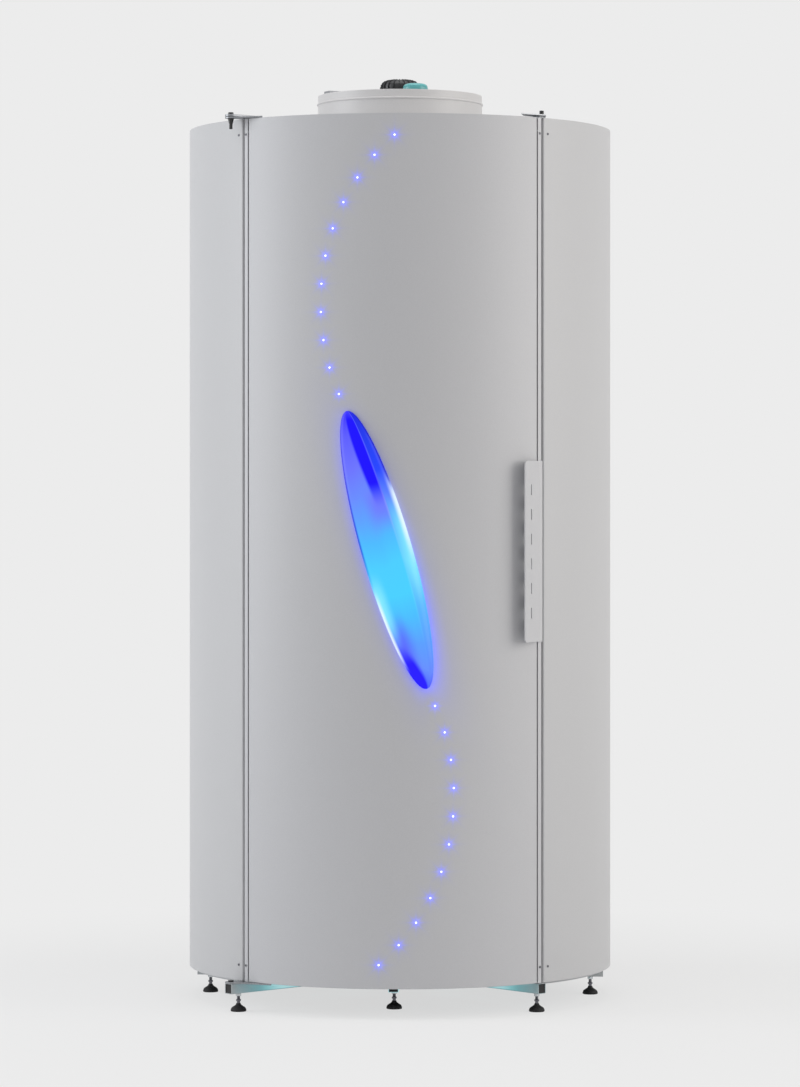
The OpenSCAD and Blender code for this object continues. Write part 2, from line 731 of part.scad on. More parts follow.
module door_plate(z, t, r0) difference() {
    ring_arc(r0, inner_r - seat, z, t, -door_half + 0.02, door_half - 0.02);
    for (s = [-1, 1]) at(s * door_half) translate([-stile_t - seat, -shell_r - 1, z - 1])
        cube([2 * (stile_t + seat), shell_r - shield_r + 20, t + 2]);
}

module door_trays() color("lightgray") {
    door_plate(tray_z0, plate_t, tray_in);
    door_plate(top_ring_z, plate_t, tray_in);
    door_plate(cap_z1 - plate_t, plate_t, tray_in + 3);
}

module door_reflector() color("silver")
    ring_arc(reflector_r, reflector_r + reflector_t, tray_z1 + seat,
        top_ring_z - tray_z1 - 2 * seat, -door_in, door_in);

module door_lamps() lamp_glass(0);

module door_lamp_caps() lamp_ends(0);

module door_lampholders() lamp_sockets(0, tray_z1);

module door_shield() shield(-door_in + 0.3, door_in - 0.3, tray_z1);

// One hinge arm: an eye at the pin and a tapered plate along the door's edge
module hinge_arm(z, tip_a, tip_r) difference() {
    eye = on_circle(hinge_a, hinge_r);
    tip = on_circle(tip_a, tip_r);
    union() {
        translate([eye[0], eye[1], z]) cylinder(r = eye_r, h = arm_t, $fn = mid_fn);
        translate([0, 0, z]) linear_extrude(arm_t) polygon([
            eye + [0, -eye_r], eye + [arm_front, -eye_r - arm_flare], tip,
            tip + tip_back, eye + [arm_back, eye_r + 2], eye + [0, eye_r]]);
    }
    translate([eye[0], eye[1], z - 1]) cylinder(d = hinge_pin_d + 2 * run, h = arm_t + 2, $fn = mid_fn);
}

module door_hinge_arms() color("silver") {
    hinge_arm(cap_z1, upper_tip, shell_r - 2);
    hinge_arm(arm_z0, lower_tip, inner_r - 6);
}

// Door handle: a flange on the right strip, and a grip that leans out towards the hinge side
module door_handle() color("gainsboro") {
    mid_a = (stile_edge + door_half) / 2;
    z0 = light_z - 5 - handle_len / 2;
    slot_pitch = handle_len / 7.35;
    at(mid_a, shell_r + seat, z0) {
        translate([-flange_w / 2, -handle_t, 0]) cube([flange_w, handle_t, handle_len]);
        translate([-flange_w / 2 + 1, -handle_t, 0]) rotate([0, 0, grip_lean]) rotate([90, 0, 0])
            translate([-grip_w, 0, -handle_t]) linear_extrude(handle_t) difference() {
                union() {
                    translate([round_r, 0]) square([grip_w - round_r, handle_len]);
                    translate([0, round_r]) square([grip_w, handle_len - 2 * round_r]);
                    for (y = [round_r, handle_len - round_r]) translate([round_r, y])
                        circle(r = round_r, $fn = small_fn);
                }
                for (i = [0:slot_count - 1])
                    translate([grip_w * 0.45, handle_len / 2 + (i - (slot_count - 1) / 2) * slot_pitch])
                        handle_slot();
            }
    }
}

// A plain upright slot with round ends
module handle_slot() {
    straight = slot_len - slot_w;
    square([slot_w, straight], center = true);
    for (y = [-straight / 2, straight / 2]) translate([0, y]) circle(d = slot_w, $fn = small_fn);
}

module door_screws() color("dimgray") door_fixings() union() {
    radial_bar(screw_r + head_edge, head_h, -head_h - seat);
    radial_bar(screw_r, 8, -1);
}

// The lens: a smooth blister on the door, highest along its middle
function lens_point(k, t, r) =
    let (w = lens_w / 2 * k * cos(t), l = lens_len / 2 * k * sin(t),
        side = -light_shift + w * cos(lens_tilt) - l * sin(lens_tilt),
        up = light_z + w * sin(lens_tilt) + l * cos(lens_tilt))
    concat(on_circle(side * deg, r), up);
function lens_skin(k) =
    shell_r + seat + lens_rim + (lens_rise - seat - lens_rim) * pow(1 - k * k, 0.6);

module lens() color("dodgerblue") {
    top = [for (j = [0:lens_rings - 1]) for (i = [0:lens_seg - 1])
        let (k = 1 - j / lens_rings) lens_point(k, i * 360 / lens_seg, lens_skin(k))];
    low = [for (j = [0:lens_rings - 1]) for (i = [0:lens_seg - 1])
        let (k = 1 - j / lens_rings) lens_point(k, i * 360 / lens_seg, shell_r + seat)];
    n = lens_rings * lens_seg;
    peak = lens_point(0, 0, lens_skin(0));
    back_mid = lens_point(0, 0, shell_r + seat);
    faces = concat(
        [for (j = [0:lens_rings - 2]) for (i = [0:lens_seg - 1]) let (m = (i + 1) % lens_seg)
            [j * lens_seg + i, j * lens_seg + m, (j + 1) * lens_seg + m, (j + 1) * lens_seg + i]],
        [for (i = [0:lens_seg - 1]) [n - lens_seg + i, n - lens_seg + (i + 1) % lens_seg, 2 * n]],
        [for (j = [0:lens_rings - 2]) for (i = [0:lens_seg - 1]) let (m = (i + 1) % lens_seg)
            [n + j * lens_seg + m, n + j * lens_seg + i, n + (j + 1) * lens_seg + i, n + (j + 1) * lens_seg + m]],
        [for (i = [0:lens_seg - 1]) [2 * n - lens_seg + (i + 1) % lens_seg, 2 * n - lens_seg + i, 2 * n + 1]],
        [for (i = [0:lens_seg - 1]) let (m = (i + 1) % lens_seg) [m, i, n + i, n + m]]);
    polyhedron(concat(top, low, [peak, back_mid]), faces, convexity = 4);
}

// Light box behind the lens, the small lights in their holes and their driver, all behind the skin
module door_lights() {
    box_r = reflector_r + reflector_t;
    color("white") intersection() {
        translate([0, -box_r - light_back, 0]) rotate([90, 0, 0]) difference() {
            linear_extrude(shell_r - box_r) polygon(lens_outline(light_edge));
            translate([0, 0, light_wall])
                linear_extrude(shell_r - box_r) polygon(lens_outline(light_edge - light_wall));
        }
        cylinder(r = inner_r - seat, h = panel_z1, $fn = big_fn);
    }
    color("blue") each_star() {
        radial_bar(star_d / 2, sheet_t + 1.5, -1);
        radial_bar(star_d / 2 + 1.5, 6, sheet_t + 0.2);
    }
    color("gray") at(driver_a, box_r + seat + driver_d / 2, driver_z) box(driver_w, driver_d, driver_h);
}

base_frame();
tube_end_caps();
foot(0);  // foot_front
foot(1);  // foot_front_right
foot(2);  // foot_right
foot(3);  // foot_rear_right
foot(4);  // foot_rear
foot(5);  // foot_rear_left
foot(6);  // foot_left
foot(7);  // foot_front_left
foot_lock_nuts();
base_ring();
floor_deck();
floor_mat();
corner_posts();
door_seals();
left_panel();
right_panel();
rear_panel();
panel_screws();
top_ring();
top_frame();
roof_plate();
ceiling_grille();
fan_collar();
fan_bar();
fan_motor();
motor_terminal_box();
fan_impeller();
side_reflectors();
side_lamps();
side_lamp_caps();
side_lampholders();
left_shield();
right_shield();
rear_shield();
ballasts();
terminal_box();
cable_gland();
control_pod();
start_button();
stop_button();
fan_knob();
grab_rails();
top_hinge_bracket();
hinge_pins();
door_keeper();
door_skin();
door_stiles();
door_trays();
door_reflector();
door_lamps();
door_lamp_caps();
door_lampholders();
door_shield();
door_hinge_arms();
door_handle();
door_screws();
lens();
door_lights();
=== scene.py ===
"""Looks of a stand-up tanning booth, dressed round its fixed frame.

Everything is in metres. The booth's axis stands at the origin, its door faces -Y and +Z is up.
Angles round the booth are in degrees, counted from the middle of the door, positive towards +X.
"""

import json
import logging
import math
from dataclasses import dataclass, field
from enum import Enum

import bmesh
import bpy
import numpy as np
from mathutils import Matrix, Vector
from mathutils.geometry import tessellate_polygon


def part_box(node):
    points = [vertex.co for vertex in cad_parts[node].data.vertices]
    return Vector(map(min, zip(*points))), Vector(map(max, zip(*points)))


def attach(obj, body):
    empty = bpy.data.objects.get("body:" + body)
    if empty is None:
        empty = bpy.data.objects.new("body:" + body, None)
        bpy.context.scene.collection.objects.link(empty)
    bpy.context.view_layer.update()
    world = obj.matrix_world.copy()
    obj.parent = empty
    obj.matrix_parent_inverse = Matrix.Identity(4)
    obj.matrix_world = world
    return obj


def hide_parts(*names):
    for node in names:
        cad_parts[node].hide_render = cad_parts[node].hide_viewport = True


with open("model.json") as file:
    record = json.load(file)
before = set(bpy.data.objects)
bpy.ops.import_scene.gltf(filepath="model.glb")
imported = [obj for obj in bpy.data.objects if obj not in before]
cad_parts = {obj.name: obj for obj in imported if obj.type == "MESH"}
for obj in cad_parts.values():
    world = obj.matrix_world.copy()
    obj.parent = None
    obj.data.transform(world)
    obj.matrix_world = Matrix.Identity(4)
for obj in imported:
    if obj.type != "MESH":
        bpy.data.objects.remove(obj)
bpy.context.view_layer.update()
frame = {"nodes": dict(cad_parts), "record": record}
LOG = logging.getLogger("booth")
MM = 0.001
# Gap at which the frame seats one piece on another
SEAT = 0.3 * MM
# Points closer than this are one point, and edges sharper than this stay sharp
MERGE = 0.002 * MM
SHARP = math.radians(32)


def linear(code: str) -> tuple[float, float, float, float]:
    """Turns an sRGB colour written as a hex string into the linear colour that shaders take.

    Args:
        code: Six hex digits, such as "C8C8CC".
    Returns:
        Red, green, blue and an alpha of one.
    """
    parts = [int(code[i:i + 2], 16) / 255 for i in (0, 2, 4)]
    return (*[c / 12.92 if c <= 0.04045 else ((c + 0.055) / 1.055) ** 2.4 for c in parts], 1.0)


def add(tree: bpy.types.NodeTree, kind: str, inputs: dict | None = None, **settings) -> bpy.types.Node:
    """Adds one node, sets it up, and fills or links its inputs.

    Args:
        tree: The node tree to add to.
        kind: The node's type name.
        inputs: Input name or number to a plain value, or to the output socket that feeds it.
        settings: Other properties of the node.
    Returns:
        The new node.
    """
    node = tree.nodes.new(kind)
    for key, value in settings.items():
        setattr(node, key, value)
    for key, value in (inputs or {}).items():
        if isinstance(value, bpy.types.NodeSocket):
            tree.links.new(value, node.inputs[key])
        else:
            node.inputs[key].default_value = value
    return node


def set_stops(ramp: bpy.types.Node, stops: list[tuple[float, str]]) -> bpy.types.NodeSocket:
    """Gives a colour ramp its stops.

    Args:
        ramp: A colour ramp node.
        stops: Place along the ramp and hex colour, in rising order.
    Returns:
        The ramp's colour output.
    """
    elements = ramp.color_ramp.elements
    elements[0].position, elements[0].color = stops[0][0], linear(stops[0][1])
    elements[1].position, elements[1].color = stops[-1][0], linear(stops[-1][1])
    for spot, code in stops[1:-1]:
        elements.new(spot).color = linear(code)
    return ramp.outputs["Color"]


@dataclass(frozen=True)
class Number:
    """A number that varies over a surface: sums and products of it become nodes of its material."""

    socket: bpy.types.NodeSocket

    def math(self, operation: str, *others: "Number | float") -> "Number":
        """Works out one operation.

        Args:
            operation: The math node's name of the operation.
            others: Its further operands, numbers like this one or plain ones.
        Returns:
            The result.
        """
        values = [getattr(value, "socket", value) for value in (self, *others)]
        node = add(self.socket.id_data, "ShaderNodeMath", dict(enumerate(values)), operation=operation)
        return Number(node.outputs[0])

    def fade(self, start: float, end: float) -> "Number":
        """A smooth step over this number.

        Args:
            start: Where the step is 0.
            end: Where it is 1.
        Returns:
            The step.
        """
        ends = {"Value": self.socket, "From Min": start, "From Max": end}
        node = add(self.socket.id_data, "ShaderNodeMapRange", ends, interpolation_type="SMOOTHSTEP")
        return Number(node.outputs[0])

    def __add__(self, other: "Number | float") -> "Number":
        """This number plus another."""
        return self.math("ADD", other)

    def __sub__(self, other: "Number | float") -> "Number":
        """This number less another."""
        return self.math("SUBTRACT", other)

    def __rsub__(self, other: float) -> "Number":
        """A plain number less this one."""
        return self * -1.0 + other

    def __mul__(self, other: "Number | float") -> "Number":
        """This number times another."""
        return self.math("MULTIPLY", other)

    def __truediv__(self, other: "Number | float") -> "Number":
        """This number over another."""
        return self.math("DIVIDE", other)


def mm(*rows: tuple[float, ...]) -> np.ndarray:
    """Rows of numbers in millimetres, as an array in metres."""
    return np.array(rows) * MM


def span(node: str) -> tuple[float, float]:
    """Heights of a node's lowest and highest point."""
    low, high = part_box(node)
    return low.z, high.z


def centre(node: str) -> Vector:
    """The middle of a node's box."""
    low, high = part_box(node)
    return (low + high) / 2


def on_circle(angle: np.ndarray | float, radius: np.ndarray | float) -> np.ndarray:
    """Plan points at an angle from the door's middle and a radius: (r sin a, -r cos a)."""
    turn = np.radians(angle)
    return np.stack(np.broadcast_arrays(radius * np.sin(turn), -radius * np.cos(turn)), -1)


def arc(radius: float, start: float, end: float) -> np.ndarray:
    """Plan points along a circle round the booth's axis, about one degree apart."""
    return on_circle(np.linspace(start, end, max(2, int(abs(end - start)) + 2)), radius)


def place(points: np.ndarray, angle: float, radius: float = 0.0, height: float = 0.0) -> np.ndarray:
    """Puts local points round the booth, with local -Y pointing away from its axis.

    The points are moved out and up and turned: (x cos - y sin, x sin + y cos, z).

    Args:
        points: The local points.
        angle: Angle round the booth.
        radius: Distance of the local origin from the booth's axis.
        height: Height of the local origin.
    Returns:
        The points in place.
    """
    turn = math.radians(angle)
    cos, sin = math.cos(turn), math.sin(turn)
    x, y, z = points[..., 0], points[..., 1] - radius, points[..., 2] + height
    return np.stack([x * cos - y * sin, x * sin + y * cos, z], -1)


def rounded(path: np.ndarray, radius: float, steps: int = 5, closed: bool = False) -> np.ndarray:
    """Rounds the corners of a plan path.

    Each corner becomes a quadratic curve that leaves the straight lines at the radius, or at under
    half of the shorter one: p = (1-t)^2 before + 2t(1-t) corner + t^2 after.

    Args:
        path: Points of the path, as rows of x and y.
        radius: Distance from a corner at which its curve starts.
        steps: Points along each curve.
        closed: Whether the path joins up.
    Returns:
        The rounded path's points.
    """
    before = np.roll(path, 1, axis=0) - path
    after = np.roll(path, -1, axis=0) - path
    sizes = [np.linalg.norm(v, axis=1, keepdims=True) for v in (before, after)]
    reach = np.minimum(radius, 0.45 * np.minimum(*sizes))
    t = np.linspace(0, 1, steps)[None, :, None]
    start, end = (path + v / s * reach for v, s in zip((before, after), sizes))
    curves = (1 - t) ** 2 * start[:, None] + 2 * t * (1 - t) * path[:, None] + t ** 2 * end[:, None]
    if closed:
        return curves.reshape(-1, 2)
    return np.concatenate([path[:1], curves[1:-1].reshape(-1, 2), path[-1:]])


def around(sides: int) -> np.ndarray:
    """Angles in radians, evenly spread round a full turn."""
    return np.linspace(0, 2 * np.pi, sides, endpoint=False)


def circle(radius: np.ndarray | float, turn: np.ndarray) -> np.ndarray:
    """Points (r cos t, r sin t) of a circle, or of a loop whose radius changes with the turn."""
    return np.stack([radius * np.cos(turn), radius * np.sin(turn)], -1)


def hexagon(flat: float, turn: np.ndarray) -> np.ndarray:
    """Radius of a hexagon at each turn: flat / cos(turn from the nearest flat's middle)."""
    return flat / np.cos((turn + np.pi / 6) % (np.pi / 3) - np.pi / 6)


def tower(rows: list[tuple[np.ndarray, float]]) -> np.ndarray:
    """Loops of (x, y), each at a height, as a grid of points with one row for each loop."""
    return np.stack([np.column_stack([loop, np.full(len(loop), height)]) for loop, height in rows])


def turned(profile: np.ndarray, sides: int) -> np.ndarray:
    """A turned shape about +Z: each profile point (r, z) becomes a ring (r cos t, r sin t, z)."""
    return tower([(circle(radius, around(sides)), height) for radius, height in profile])


def disc(radius: float, low: float, high: float, edge: float) -> np.ndarray:
    """Profile of an upright disc or bar, whose two edges are cut off by the width edge."""
    return np.array([(0, low), (radius - edge, low), (radius, low + edge), (radius, high - edge),
                     (radius - edge, high), (0, high)])


def socket_head(profile: np.ndarray, flat: float, floor: float, tip: float) -> np.ndarray:
    """A turned screw about +Z with a six-sided socket in its head.

    Args:
        profile: Radius and height of each ring, up to the socket's mouth.
        flat: Distance of the socket's flats from the axis.
        floor: Height of the socket's floor at its sides.
        tip: Height of the floor's middle.
    Returns:
        The screw as a grid of points.
    """
    turn = around(24)
    socket = circle(hexagon(flat, turn), turn)
    rings = [(circle(radius, turn), height) for radius, height in profile]
    return tower(rings + [(socket, profile[-1, 1]), (socket, floor), (0 * socket, tip)])


class Surface:
    """Points and faces of one piece, gathered from several simple surfaces and made one mesh."""

    def __init__(self) -> None:
        """Starts with nothing."""
        self.points: list[np.ndarray] = []
        self.faces: list[list[int]] = []
        self.count = 0

    def polygons(self, points: np.ndarray, faces: np.ndarray) -> None:
        """Stores points and faces.

        Args:
            points: The points, in an array of any shape whose last axis is x, y and z.
            faces: Rows of point numbers, which count from the first of these points.
        """
        self.points.append(points.reshape(-1, 3))
        self.faces.extend((faces + self.count).tolist())
        self.count += len(self.points[-1])

    def flat(self, loop: np.ndarray) -> None:
        """Adds one flat face over a loop of points."""
        self.polygons(loop, np.arange(len(loop))[None])

    def grid(self, points: np.ndarray, close_rows: bool = False, close_columns: bool = False,
             capped: bool = False) -> None:
        """Adds a surface given as a grid of points: each face joins four neighbours.

        Args:
            points: Rows by columns by three.
            close_rows: Whether the last row joins the first.
            close_columns: Whether the last column joins the first.
            capped: Whether a flat face closes each end that is then left open.
        """
        rows, columns = points.shape[:2]
        i = np.arange(rows if close_rows else rows - 1)[:, None]
        j = np.arange(columns if close_columns else columns - 1)[None, :]
        below, right = (i + 1) % rows, (j + 1) % columns
        quads = [i * columns + j, i * columns + right, below * columns + right, below * columns + j]
        self.polygons(points, np.stack(np.broadcast_arrays(*quads), -1).reshape(-1, 4))
        for end in (0, -1) if capped else ():
            self.flat(points[:, end] if close_rows else points[end])

    def lathe(self, profile: np.ndarray, sides: int = 48, spot: tuple = (0, 0, 0),
              close: bool = False) -> None:
        """Adds a turned shape about an upright axis.

        Args:
            profile: Radius and height of each point; one that starts and ends on the axis is closed.
            sides: Points round the axis.
            spot: Where the axis stands.
            close: Whether the profile is a loop, as on a ring.
        """
        self.grid(turned(profile, sides) + np.array(spot), close_rows=close, close_columns=True)

    def outward(self, shape: np.ndarray, angle: float, radius: float = 0.0, height: float = 0.0,
                capped: bool = False) -> None:
        """Adds a shape made about +Z, tipped so that its top points away from the booth's axis.

        Args:
            shape: A grid of points whose rows are closed loops; (x, y, z) becomes (x, -z, y).
            angle: Angle round the booth at which it lies.
            radius: Distance from the booth's axis that its heights count from.
            height: Height of its own axis.
            capped: Whether a flat face closes each end.
        """
        tipped = np.stack([shape[..., 0], -shape[..., 2], shape[..., 1]], -1)
        self.grid(place(tipped, angle, radius, height), close_columns=True, capped=capped)

    def sheet(self, path: np.ndarray, thickness: float, low: float, high: float) -> None:
        """Adds folded sheet metal, carried up from low to high.

        Each point of its path moves half the thickness to either side, square to the path.

        Args:
            path: Plan points of the sheet's middle line.
            thickness: Thickness of the sheet.
            low: Height of the lower edge.
            high: Height of the upper edge.
        """
        along = np.gradient(path, axis=0)
        along /= np.linalg.norm(along, axis=1, keepdims=True)
        aside = np.stack([along[:, 1], -along[:, 0]], -1) * thickness / 2
        grid = tower([(path + aside, low), (path + aside, high), (path - aside, high), (path - aside, low)])
        self.grid(grid, close_rows=True, capped=True)

    def sweep(self, path: np.ndarray, loop: np.ndarray, up: np.ndarray) -> None:
        """Carries a closed loop along a path in space and closes both ends.

        A loop's point (a, b) lands a aside of the path's point and b square to both.

        Args:
            path: Points of the path.
            loop: The loop's points.
            up: A direction that the path never runs along.
        """
        along = np.gradient(path, axis=0)
        along /= np.linalg.norm(along, axis=1, keepdims=True)
        aside = np.cross(along, up)
        aside /= np.linalg.norm(aside, axis=1, keepdims=True)
        second = np.cross(aside, along)
        grid = path[:, None] + loop[None, :, :1] * aside[:, None] + loop[None, :, 1:] * second[:, None]
        self.grid(grid, close_columns=True, capped=True)

    def make(self, name: str) -> bpy.types.Object:
        """Joins what was added into one piece at the origin, with its faces turned outwards.

        Args:
            name: The piece's name.
        Returns:
            The piece.
        """
        mesh = bpy.data.meshes.new(name)
        mesh.from_pydata(np.concatenate(self.points).tolist(), [], self.faces)
        tidy_mesh(mesh)
        return new_piece(name, mesh)

    def dress(self, name: str, finish: "Finish", body: str, *nodes: str, edge: float = 0.0,
              angle: float = 50.0) -> bpy.types.Object:
        """Makes the piece, softens its edges and dresses it.

        Args:
            name: The piece's name.
            finish: Its finish.
            body: The body that it rides on.
            nodes: The nodes that it stands for.
            edge: Width of its softened edges, if it has any.
            angle: Angle between faces, in degrees, from which an edge is softened.
        Returns:
            The piece.
        """
        piece = self.make(name)
        if edge:
            bevel(piece, edge, 2, angle)
        dress(piece, finish, body, *nodes)
        return piece


def new_piece(name: str, mesh: bpy.types.Mesh) -> bpy.types.Object:
    """Puts a mesh into the scene as an object at the origin.

    Args:
        name: The object's name.
        mesh: Its mesh.
    Returns:
        The object.
    """
    piece = bpy.data.objects.new(name, mesh)
    bpy.context.scene.collection.objects.link(piece)
    return piece


def tidy_mesh(mesh: bpy.types.Mesh, planar: bool = False) -> None:
    """Merges doubled points, turns faces outwards and smooths all but the sharp edges.

    Args:
        mesh: The mesh to tidy.
        planar: Whether flat groups of triangles become single faces.
    """
    work = bmesh.new()
    work.from_mesh(mesh)
    bmesh.ops.remove_doubles(work, verts=work.verts, dist=MERGE)
    bmesh.ops.dissolve_degenerate(work, edges=work.edges, dist=MERGE / 2)
    if planar:
        bmesh.ops.dissolve_limit(work, angle_limit=math.radians(0.5), verts=work.verts, edges=work.edges)
    bmesh.ops.recalc_face_normals(work, faces=work.faces)
    work.to_mesh(mesh)
    work.free()
    mesh.shade_smooth()
    mesh.set_sharp_from_angle(angle=SHARP)


def bevel(piece: bpy.types.Object, width: float, segments: int, angle: float) -> None:
    """Softens a piece's edges, as pressing, moulding and deburring do.

    Args:
        piece: The piece.
        width: Width of the softened edges.
        segments: Steps across each softened edge.
        angle: Angle between faces, in degrees, from which an edge is softened.
    """
    modifier = piece.modifiers.new("edges", "BEVEL")
    modifier.width = width
    modifier.segments = segments
    modifier.limit_method = "ANGLE"
    modifier.angle_limit = math.radians(angle)
    modifier.harden_normals = True


def new_material(name: str, values: dict) -> tuple[bpy.types.Material, bpy.types.NodeTree, bpy.types.Node]:
    """Starts a material with one surface shader.

    Args:
        name: The material's name.
        values: Plain values of the shader's inputs.
    Returns:
        The material, its node tree and its shader.
    """
    material = bpy.data.materials.new(name)
    material.use_nodes = True
    tree = material.node_tree
    tree.nodes.clear()
    shader = add(tree, "ShaderNodeBsdfPrincipled", values)
    add(tree, "ShaderNodeOutputMaterial", {"Surface": shader.outputs["BSDF"]})
    return material, tree, shader


@dataclass(frozen=True)
class Grained:
    """A finish of two near shades over a fine relief; most finishes of the booth are a kind of it.

    One noise on object coordinates gives the relief, the roughness, from low to high, and the
    share of the light and the dark shade. Grain is the width of its spots and depth their height.
    Stretch is how much longer they are along each axis.
    """

    name: str
    light: str
    dark: str
    low: float
    high: float
    grain: float
    depth: float
    stretch: tuple[float, float, float] = (1, 1, 1)

    def values(self) -> dict[str, float]:
        """The shader's plain values: 1.5 is the usual refractive index of a paint."""
        return {"IOR": 1.5}

    def start(self) -> tuple[bpy.types.Material, bpy.types.NodeTree, bpy.types.Node]:
        """Makes the material with its relief, roughness and shades.

        Returns:
            The material, its node tree and its shader.
        """
        material, tree, shader = new_material(self.name, self.values())
        where = add(tree, "ShaderNodeTexCoord").outputs["Object"]
        scale = [1 / (self.grain * share) for share in self.stretch]
        spot = add(tree, "ShaderNodeMapping", {"Vector": where, "Scale": scale}).outputs["Vector"]
        noise = add(tree, "ShaderNodeTexNoise", {"Vector": spot, "Scale": 1.0, "Detail": 3.0}).outputs["Fac"]
        bump = add(tree, "ShaderNodeBump", {"Height": noise, "Distance": self.depth, "Strength": 0.6})
        rough = add(tree, "ShaderNodeMapRange", {"Value": noise, "From Min": 0.3, "From Max": 0.7,
                                                 "To Min": self.low, "To Max": self.high})
        tint = set_stops(add(tree, "ShaderNodeValToRGB", {"Fac": noise}),
                         [(0.35, self.dark), (0.65, self.light)])
        tree.links.new(bump.outputs["Normal"], shader.inputs["Normal"])
        tree.links.new(rough.outputs["Result"], shader.inputs["Roughness"])
        tree.links.new(tint, shader.inputs["Base Color"])
        return material, tree, shader

    def make(self) -> bpy.types.Material:
        """Makes the material."""
        return self.start()[0]


@dataclass(frozen=True)
class PowderCoat(Grained):
    """Sheet steel, powder sprayed and baked: an even satin colour with a broad, soft highlight.

    Its orange peel is about 2 mm from crest to crest, which just shows close up.
    """

    low: float = 0.41
    high: float = 0.48
    grain: float = 2 * MM
    depth: float = 0.012 * MM


@dataclass(frozen=True)
class BareMetal(Grained):
    """Bare or plated metal, rolled, drawn or pressed: bright, with highlights in its own colour.

    Its drawing marks are about 0.1 mm apart, too fine to show. They are drawn 1.5 mm apart, and
    longer along one axis, so that they break up the highlight as the real ones do.
    """

    low: float = 0.26
    high: float = 0.42
    grain: float = 1.5 * MM
    depth: float = 0.008 * MM
    stretch: tuple[float, float, float] = (1, 1, 12)

    def values(self) -> dict[str, float]:
        """The shader's plain values: a metal, with the default refractive index."""
        return {"Metallic": 1.0}


@dataclass(frozen=True)
class Moulded(Grained):
    """Moulded plastic or rubber, or a thick enamel: one colour, with a sharper or a duller shine.

    The eroded texture of a mould is 0.1 to 0.3 mm wide, too fine to show. It is drawn 0.8 mm wide.
    """

    low: float = 0.4
    high: float = 0.5
    grain: float = 0.8 * MM
    depth: float = 0.015 * MM
    coat: float = 0.0

    def values(self) -> dict[str, float]:
        """The shader's plain values: 1.49 is the refractive index of common plastics."""
        return {"IOR": 1.49, "Coat Weight": self.coat, "Coat Roughness": 0.08}


@dataclass(frozen=True)
class LampGlass(Grained):
    """Drawn soda glass tube, coated inside with a pale powder: milky, under a glossy outer face.

    The powder runs down the tube as it dries, in streaks about 6 mm wide and 50 mm long.
    """

    name: str = "coated_lamp_glass"
    light: str = "EEF0FA"
    dark: str = "E2E4F2"
    low: float = 0.22
    high: float = 0.3
    grain: float = 6 * MM
    depth: float = 0.01 * MM
    stretch: tuple[float, float, float] = (1, 1, 8)

    def values(self) -> dict[str, float]:
        """The shader's plain values: 1.52 is soda glass."""
        return {"IOR": 1.52, "Coat Weight": 0.6, "Coat Roughness": 0.04}


@dataclass(frozen=True)
class ClearAcrylic(Grained):
    """Cast acrylic sheet, polished: clear, with the lightest waviness, about 40 mm from crest to crest."""

    name: str = "clear_acrylic_sheet"
    light: str = "FFFFFF"
    dark: str = "F4FAFC"
    low: float = 0.01
    high: float = 0.03
    grain: float = 40 * MM
    depth: float = 0.02 * MM

    def values(self) -> dict[str, float]:
        """The shader's plain values: 1.49 is acrylic."""
        return {"IOR": 1.49, "Transmission Weight": 1.0}


@dataclass(frozen=True)
class Laminate(Grained):
    """Anthracite melamine laminate pressed on board: matt, with a fine pale speckle about 3 mm apart."""

    name: str = "anthracite_laminate"
    light: str = "3A3B3F"
    dark: str = "26272A"
    low: float = 0.5
    high: float = 0.6
    grain: float = 3 * MM
    depth: float = 0.02 * MM


@dataclass(frozen=True)
class LightPattern:
    """Places of the lit lens and of the two arcs of small lights on the door.

    Sideways distances are measured round the shell from the door's middle, heights from the middle
    of the pattern. The lower arc is the upper one turned by half a turn.
    """

    height: float = 1.115
    shift: float = -8 * MM
    lens_length: float = 686 * MM
    lens_width: float = 120 * MM
    lens_tilt: float = 16.2
    arc_radius: float = 531 * MM
    arc_side: float = 370 * MM
    arc_up: float = 586 * MM
    first_turn: float = 48.6
    turn_step: float = 7.26
    count: int = 11

    def lights(self) -> np.ndarray:
        """Where the small lights are, at equal steps round both arcs.

        Returns:
            Rows of sideways distance and height above the floor.
        """
        turn = np.radians(self.first_turn - self.turn_step * np.arange(self.count))
        upper = [self.arc_side, self.arc_up] + circle(self.arc_radius, turn) * [-1, 1]
        return np.concatenate([upper, -upper]) + [self.shift, self.height]

    def on_lens(self, side: "np.ndarray | Number", up: "np.ndarray | Number") -> tuple:
        """Where a place on the door lies across and along the lens, -1 and 1 being its ends.

        u = (side cos tilt + up sin tilt) / half width, v = (up cos tilt - side sin tilt) / half length.

        Args:
            side: Sideways distance from the pattern's middle.
            up: Height above it.
        Returns:
            The place across, u, and along, v.
        """
        tilt = math.radians(self.lens_tilt)
        return ((side * math.cos(tilt) + up * math.sin(tilt)) / (self.lens_width / 2),
                (up * math.cos(tilt) - side * math.sin(tilt)) / (self.lens_length / 2))


